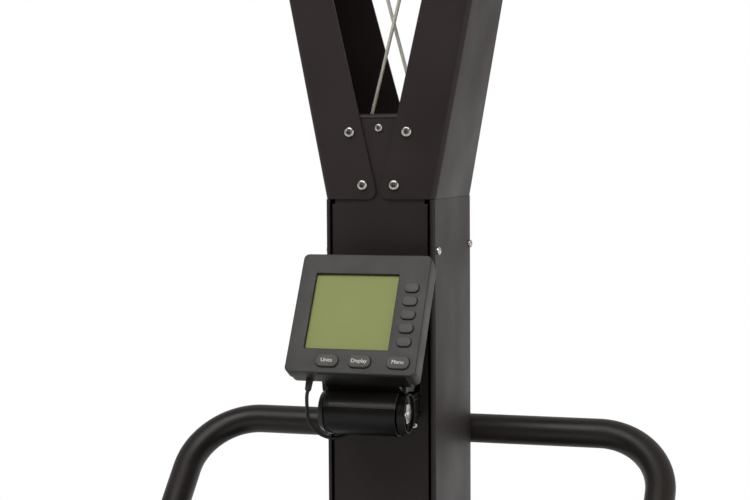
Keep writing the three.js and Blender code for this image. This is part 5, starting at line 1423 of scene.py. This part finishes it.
# Top pulleys lean with the arms in their forks; guide pulleys turn about the y axis
def makePulleys():
    profile = grooveProfile(pulley["pitch"], pulley["flange"], pulley["width"])
    for sideName, side in bothSides:
        name = sideName.lower()
        along = np.array([math.cos(lean), 0, -side * math.sin(lean)])
        turn = np.stack([along, [0, 1.0, 0], np.cross(along, [0, 1.0, 0])])
        centre = (side * pulley["x"], pulley["y"], pulley["z"])
        turnedPiece("topPulley" + sideName, profile, centre, blackPlastic, "top_pulley_" + name, segments=72,
                    turn=turn, angle=32)
        dressedCopy("pulley_bracket_" + name, "pulleyFork" + sideName, powderCoat, 0.6)
        for end in (-1, 1):
            label = "Inner" if end * side < 0 else "Outer"
            spot = np.array(centre) + along * end * pulley["forkHalf"]
            hexBolt("forkBolt" + sideName + label, spot, along * end, *pulley["forkBolt"])
    small = grooveProfile(pulley["guidePitch"], pulley["guideFlange"], pulley["guideWidth"])
    small = [row for row in small if row[1] <= pulley["bore"] + 3.5 or row[1] > 9.4]      # no web
    for (sideName, side), y in zip(bothSides, pulley["guideY"]):
        centre = (side * pulley["guideX"], y, pulley["guideZ"])
        turnedPiece("guidePulley" + sideName, small, centre, blackPlastic, "guide_pulley_" + sideName.lower(),
                    axis="y", angle=32)
    dressedCopy("guide_plate", "guidePlate", brushedSteel, 0.5)
    dressedCopy("cord_anchor", "cordAnchor", powderCoat, 1.5, 3)
    dressedCopy("top_brace", "topBrace", powderCoat, 1.0, 3)
    for sideName, side in bothSides:
        dressedCopy("cage_bracket_" + sideName.lower(), "cageStrap" + sideName, powderCoat, 0.8)


makePulleys()

# Cords: the same routes as in the model, with the braid's UV along them
cordRoute = {"radius": 2.2, "sides": 16, "axle": 668.0, "guideBelow": 20.0, "frontY": 58.0, "anchorZ": 147.2,
             "returnX": 118.998}
crimp = {"x": 57.7, "profile": ((146.9, 0.05), (146.9, 3.6), (148, 4.2), (158, 4.2), (159.5, 3.2),
                                (160, 2.05), (160, 0.05))}


# Return cord: a leaning line from the drum to the far side of the guide pulley, round it and straight down
def returnPath(side, guideY):
    pitch, below = pulley["guidePitch"], cordRoute["guideBelow"]
    fall = cordRoute["axle"] + below
    shift = cordRoute["returnX"] + pulley["guideX"]
    slope = (fall * shift + pitch * math.sqrt(fall ** 2 + shift ** 2 - pitch ** 2)) / (fall ** 2 - pitch ** 2)
    crossing = cordRoute["axle"] - cordRoute["returnX"] / slope
    turn = math.atan(slope)
    z = np.linspace(cordRoute["axle"], -below + pitch * math.sin(turn), 160)
    y = cordRoute["frontY"] + (guideY - cordRoute["frontY"]) * (cordRoute["axle"] - z) / fall
    fallPath = np.column_stack([side * slope * (z - crossing), y, z])
    angle = np.linspace(turn, 0, 9)[1:]
    wrap = np.column_stack([-side * (pulley["guideX"] + pitch * np.cos(angle)), np.full(8, guideY),
                            -below + pitch * np.sin(angle)])
    down = np.linspace(-below, cordRoute["anchorZ"] - machine["seamZ"], 120)[1:]
    x = -side * (pulley["guideX"] + pitch)
    rest = np.column_stack([np.full(len(down), x), np.full(len(down), guideY), down])
    return np.vstack([fallPath, wrap, rest]) + np.array([0, machine["frontY"], machine["seamZ"]])


# Drive cord: in the pulley's leaning plane, where v is front to back and w is along the arm
def drivePath(side):
    w = (axleZ - pulley["z"]) / math.cos(lean)
    v = axleY - pulley["y"]
    normal = math.atan2(w, v) + math.acos((pulley["pitch"] + wound["middle"]) / math.hypot(v, w))
    across = np.array([math.cos(normal), math.sin(normal)])
    start = np.array([v, w]) - wound["middle"] * across
    leave = pulley["pitch"] * across
    straight = start + (leave - start) * np.linspace(0, 1, 60)[:, None]
    wrap = arcPoints((0, 0), pulley["pitch"], math.degrees(normal), 180, 40)[1:]
    flat = np.vstack([straight, wrap])
    return np.column_stack([side * (pulley["x"] + flat[:, 1] * math.sin(lean)), pulley["y"] + flat[:, 0],
                            pulley["z"] + flat[:, 1] * math.cos(lean)])


section = circleSection(cordRoute["radius"], cordRoute["sides"])
for (sideName, side), guideY in zip(bothSides[::-1], pulley["guideY"]):
    path = returnPath(side, guideY - machine["frontY"])
    dress(sweep("returnCord" + sideName, path, section, (0, 1, 0.02)), braidedCord,
          "return_cord_" + sideName.lower())
for sideName, side in bothSides:
    dress(sweep("driveCord" + sideName, drivePath(side), section, (1, 0.01, 0.01)), braidedCord,
          "drive_cord_" + sideName.lower())
for (sideName, side), guideY in zip(bothSides, pulley["guideY"][::-1]):      # each cord ends on the far side
    turnedPiece("cordCrimp" + sideName, crimp["profile"], (-side * crimp["x"], guideY, 0), zincSteel,
                axis="z", segments=32, body="frame", slot="steel")

# Handles and the cords that carry them
grip = {"length": 165.0, "halfWidth": 15.0, "halfDepth": 18.0, "top": 1969.7, "y": 229.0, "rings": 150,
        "sides": 56, "least": 0.17, "heel": 0.28, "heelReach": 0.1, "foot": 0.05, "footReach": 0.08,
        "shoulder": 0.35, "shoulderAt": 0.86, "shoulderReach": 0.09, "closing": 0.17,
        "swells": 4, "swell": 1.6, "swellFrom": 0.12, "swellTo": 0.72, "swellFade": 0.05}
collar = ((-21.5, 13.0), (-21.5, 20.8), (-20.5, 21.5), (-15.5, 21.2), (-14.5, 20.2), (-14.5, 13.0))
ferrule = ((-4, 0.05), (-4, 6.4), (1, 6.0), (9, 3.2), (10, 2.3), (10, 0.05))
handleCord = {"top": 2120.2, "bottom": 1970.0, "rings": 60}


# Grip size at share s up its length: 1 + heel bell + shoulder bell, closed by quarter ellipses at both ends;
# the front swells by a cosine of s
def makeHandle(sideName, side):
    share = np.linspace(0, 1, grip["rings"])

    def bell(height, middle, reach):
        return height * np.exp(-((share - middle) / reach) ** 2)

    def ending(past):
        return np.sqrt(np.maximum(1 - np.clip(past, 0, None) ** 2, grip["least"] ** 2))

    def fade(past):
        return np.clip(past / grip["swellFade"], 0, 1)

    size = 1 + bell(grip["heel"], 0, grip["heelReach"])
    size = size + bell(grip["shoulder"], grip["shoulderAt"], grip["shoulderReach"])
    size = size * ending((share - grip["shoulderAt"]) / grip["closing"])
    size = size * ending((grip["foot"] - share) / grip["footReach"])
    swell = grip["swell"] * np.cos(2 * np.pi * grip["swells"] * share)
    swell = swell * fade(share - grip["swellFrom"]) * fade(grip["swellTo"] - share)
    angle = np.linspace(0, 2 * np.pi, grip["sides"], endpoint=False)
    x = np.cos(angle)[None] * grip["halfWidth"] * size[:, None]
    front = np.where(np.sin(angle) < 0, np.sin(angle) ** 2, 0)[None] * swell[:, None]
    y = np.sin(angle)[None] * (grip["halfDepth"] * size[:, None] + front)
    z = grip["top"] - grip["length"] * (1 - share[:, None]) + 0 * x
    centre = (side * pulley["x"], grip["y"], grip["top"])
    piece = layeredPiece("grip" + sideName, np.stack([x + centre[0], y + centre[1], z], -1), 50)
    dress(piece, rubber, "handle_" + sideName.lower(), slot="black_plastic")
    onGrip = {"axis": "z", "body": "grip_" + sideName.lower()}
    turnedPiece("gripCollar" + sideName, collar, centre, keyPlastic, segments=56, slot="grey_plastic",
                **onGrip)
    turnedPiece("gripFerrule" + sideName, ferrule, centre, blackPlastic, segments=40, slot="black_plastic",
                **onGrip)


# Handle cord: straight down from the top pulley, between the machine and its grip
def makeHandleCord(sideName, side):
    z = np.linspace(handleCord["top"], handleCord["bottom"], handleCord["rings"])
    path = np.column_stack([0 * z + side * pulley["x"], 0 * z + grip["y"], z])
    piece = sweep("handleCord" + sideName, path, section, (0, 1, 0.01))
    piece.data.materials.append(braidedCord)
    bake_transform(piece)
    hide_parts("handle_cord_" + sideName.lower())


for sideName, side in bothSides:
    makeHandle(sideName, side)
    makeHandleCord(sideName, side)
say("pulleys, cords and handles made")

# Platform: a deck board with a rolled edge and ribbed treads, a welded frame, feet and wheels
platform = {"width": 600.0, "length": 1270.0, "middleY": -31.0, "low": 42.6, "high": 60.6, "corner": 25.0,
            "edge": 3.0, "lowEdge": 1.5, "cornerSteps": 12, "footX": 279.7, "footY": (-606.0, 544.0),
            "screwY": (-600, -290, 20, 330, 540), "screw": 11}
treadRibs = {"width": 210.0, "length": 560.0, "ribs": 26, "x": 140, "y": -290, "low": 0.2, "rise": 1.1,
             "end": 1.5, "sink": 0.1, "thick": 0.5}
footProfile = ((0, 0.05), (0, 15.8), (0.8, 17.2), (2.2, 18), (5, 18), (5.8, 17.0), (6.6, 18), (9, 17.6),
               (12, 15.6), (12.2, 0.05))
wheel = {"x": 230.0, "y": 636.0, "z": 33.0, "screwAt": 17, "screw": 13, "halfWidth": 9.0, "shoulder": 25.5,
         "crown": 4.5, "side": [[9, 5.3], [9, 8.5], [8.2, 9.5], [4.5, 10], [4.5, 21], [8.4, 22], [9, 23],
                                [9, 25.5]]}


# Deck: round-cornered loops whose inset follows a quarter circle at the lower and at the upper edge
def makeDeck():
    p = platform
    turn = np.linspace(0, np.pi / 2, 6)
    rows = [(p["low"] + p["lowEdge"] * (1 - math.sin(t)), p["lowEdge"] * (1 - math.cos(t))) for t in turn]
    rows += [(p["high"] - p["edge"] * (1 - math.sin(t)), p["edge"] * (1 - math.cos(t))) for t in turn]
    rows = sorted(rows, key=lambda row: row[0])
    loops = [roundLoop(p["width"] - 2 * inset, p["length"] - 2 * inset, p["corner"] - inset, p["cornerSteps"],
                       (0, p["middleY"])) for z, inset in rows]
    dress(layeredPiece("deckBoard", layersAt("z", [z for z, inset in rows], *loops), 30), deckCoat,
          "platform_deck")


# Tread: one ribbed sheet for each foot, height low + rise (1.6 cos(k x))^0.5 between 0 and 1
def makeTread(sideName, side):
    t = treadRibs
    x = np.linspace(-t["width"] / 2, t["width"] / 2, t["ribs"] * 8 + 1)
    wave = 1.6 * np.cos((x + t["width"] / 2) / t["width"] * 2 * np.pi * t["ribs"])
    height = t["low"] + t["rise"] * np.clip(wave, 0, 1) ** 0.5
    end = t["length"] / 2
    y = np.array([-end, -end + t["end"], end - t["end"], end])[:, None]
    z = np.stack([0 * x + 0.05, height, height, 0 * x + 0.05])
    top = np.stack([x + side * t["x"] + 0 * z, y + t["y"] + 0 * z, z + platform["high"] - t["sink"]], -1)
    bottom = top.copy()
    bottom[..., 2] = platform["high"] - t["sink"] - t["thick"]
    tread = layeredPiece("tread" + sideName, np.concatenate([top, bottom[:, ::-1]], axis=1), 40)
    dress(tread, rubber, body="frame", slot="rubber")


# Wheel: its side's steps, then a crown of 4.5 sqrt(1 - (x / half width)^2)^0.8 over the shoulder
def makeWheel(sideName, side):
    across = np.linspace(8.4, -8.4, 15)
    rise = np.sqrt(1 - (across / wheel["halfWidth"]) ** 2) ** 0.8
    crown = np.column_stack([across, wheel["shoulder"] + wheel["crown"] * rise])
    profile = wheel["side"] + crown.tolist() + [[-a, r] for a, r in wheel["side"][::-1]]
    place = (side * wheel["x"], wheel["y"], wheel["z"])
    turnedPiece("wheel" + sideName, profile, place, rubber, "transport_wheel_" + sideName.lower(),
                segments=72, angle=32)
    for label, end in (("A", -1), ("B", 1)):
        spot = (place[0] + end * wheel["screwAt"], *place[1:])
        buttonScrew(f"wheelBolt{sideName}{label}", spot, (end, 0, 0), wheel["screw"])


# Platform: the deck and treads first, then the frame, the deck's screws, the feet and the wheels
def makePlatform():
    makeDeck()
    for sideName, side in bothSides:
        makeTread(sideName, side)
    dressedCopy("platform_frame", "platformFrame", powderCoat, 1.4, 3, 40)
    for sideName, side in bothSides:
        for number, y in enumerate(platform["screwY"]):
            place = (side * platform["footX"], y, platform["high"] - 0.4)
            buttonScrew(f"deckScrew{sideName}{number + 1}", place, (0, 0, 1), platform["screw"], "frame",
                        darkSteel)
    for endName, y in zip(("Front", "Rear"), platform["footY"]):
        for sideName, side in bothSides:
            turnedPiece("foot" + endName + sideName, footProfile, (side * platform["footX"], y, 0), rubber,
                        f"foot_{endName}_{sideName}".lower(), axis="z", segments=48)
    for sideName, side in bothSides:
        makeWheel(sideName, side)


makePlatform()
say("platform made")

# Names any node that still shows as it came
left = [node for node, piece in frame["nodes"].items() if not piece.hide_render]
say("nodes shown as they came: " + (", ".join(left) or "none"))

# Pale floor and backdrop; seen directly and in reflections they are white, and the floor keeps a soft shadow
stage = {
    "white": (0.80, 0.80, 0.795),
    "glow": 0.42,                   # what the camera adds to the floor near the object
    "near": 0.9,                    # metres from the middle where the floor starts to fade to plain white
    "far": 2.6,
    "floor": (9.0, -9.0, 12.0),     # metres: half width, front edge and back edge
    "top": (51.0, (1, 0.985, 0.965)),         # power in watts and colour of each lamp
    "right": (33.0, (1, 0.925, 0.80)),
    "left": (10.0, (1, 1, 1)),
    "world": 0.26,                  # even light from all round
    "warm": (1.0, 0.965, 0.915),    # and its tint
    "mirrorFront": 0.14,            # what gloss shows of the room in front, and of the white backdrop behind
    "mirrorBack": 0.70,
    "mirrorFade": (-0.35, 0.75),    # from the one to the other, as the direction turns to the back
}


# Floor: pale paint, plus a glow for the camera that grows with distance from the object
def stageMaterial():
    finish = Finish("paleFloor", 0.9, specular=0.2)
    finish.shader.inputs["Base Color"].default_value = (*stage["white"], 1)
    place = finish.node("ShaderNodeTexCoord")
    length = finish.node("ShaderNodeVectorMath")
    length.operation = "LENGTH"
    finish.link(place.outputs["Object"], length.inputs[0])
    fade = smoothStep(finish.tree, length.outputs["Value"], stage["near"], stage["far"], stage["glow"])
    rays = finish.node("ShaderNodeLightPath")
    seen = calc(finish.tree, "MAXIMUM", rays.outputs["Is Camera Ray"], rays.outputs["Is Glossy Ray"])
    glow = finish.node("ShaderNodeEmission")
    mix = finish.node("ShaderNodeMixShader")
    finish.link(calc(finish.tree, "MULTIPLY", seen, fade), mix.inputs["Fac"])
    finish.link(finish.shader.outputs["BSDF"], mix.inputs[1])
    finish.link(glow.outputs["Emission"], mix.inputs[2])
    finish.link(mix.outputs["Shader"], finish.tree.nodes["Material Output"].inputs["Surface"])
    return finish.material


half, front, back = stage["floor"]
corners = [(-half, front, 0), (half, front, 0), (half, back, 0), (-half, back, 0)]
floor = meshObject("floor", corners, [(0, 1, 2, 3)], smooth=False)
floor.data.materials.append(stageMaterial())


# Soft lamp: place, the point that it faces, its size in metres, its power in watts and its colour
def areaLamp(name, place, target, size, power, colour):
    lamp = bpy.data.lights.new(name, "AREA")
    lamp.shape = "RECTANGLE"
    lamp.size, lamp.size_y = size
    lamp.energy = power
    lamp.color = colour
    holder = bpy.data.objects.new(name, lamp)
    holder.location = place
    direction = Vector(target) - Vector(place)
    holder.rotation_euler = direction.to_track_quat("-Z", "Y").to_euler()
    bpy.context.collection.objects.link(holder)


areaLamp("topLamp", (-0.2, -1.2, 3.0), (0, 0.25, 1.1), (2.4, 1.4), *stage["top"])
areaLamp("rightLamp", (3.4, -0.8, 1.7), (0, 0.3, 1.1), (1.4, 2.2), *stage["right"])
areaLamp("leftLamp", (-3.0, -1.4, 1.5), (0, 0.2, 1.1), (1.6, 2.2), *stage["left"])


# World: even light, while gloss sees a dim room in front and the white backdrop behind, and the camera sees
# plain white
def makeWorld():
    world = bpy.data.worlds.new("paleStudio")
    bpy.context.scene.world = world
    world.use_nodes = True
    tree = world.node_tree
    tree.nodes.clear()

    def mixed(share, low, high):
        mix = tree.nodes.new("ShaderNodeMix")
        tree.links.new(share, mix.inputs["Factor"])
        for label, value in (("A", low), ("B", high)):
            if isinstance(value, float):
                mix.inputs[label].default_value = value
            else:
                tree.links.new(value, mix.inputs[label])
        return mix.outputs["Result"]

    place = tree.nodes.new("ShaderNodeTexCoord")
    split = tree.nodes.new("ShaderNodeSeparateXYZ")
    tree.links.new(place.outputs["Object"], split.inputs["Vector"])
    back = smoothStep(tree, split.outputs["Y"], *stage["mirrorFade"])
    rays = tree.nodes.new("ShaderNodeLightPath")
    room = mixed(back, stage["mirrorFront"], stage["mirrorBack"])
    light = mixed(rays.outputs["Is Glossy Ray"], stage["world"], room)
    clear = mixed(rays.outputs["Is Transmission Ray"], light, 1.0)
    shade = tree.nodes.new("ShaderNodeBackground")
    shade.inputs["Color"].default_value = (*stage["warm"], 1)
    tree.links.new(clear, shade.inputs["Strength"])
    paper = tree.nodes.new("ShaderNodeBackground")
    paper.inputs["Color"].default_value = (1, 1, 1, 1)
    seen = tree.nodes.new("ShaderNodeMixShader")
    tree.links.new(rays.outputs["Is Camera Ray"], seen.inputs["Fac"])
    tree.links.new(shade.outputs["Background"], seen.inputs[1])
    tree.links.new(paper.outputs["Background"], seen.inputs[2])
    out = tree.nodes.new("ShaderNodeOutputWorld")
    tree.links.new(seen.outputs["Shader"], out.inputs["Surface"])


makeWorld()
bpy.context.scene.view_settings.view_transform = "Standard"
say("stage and lamps set")
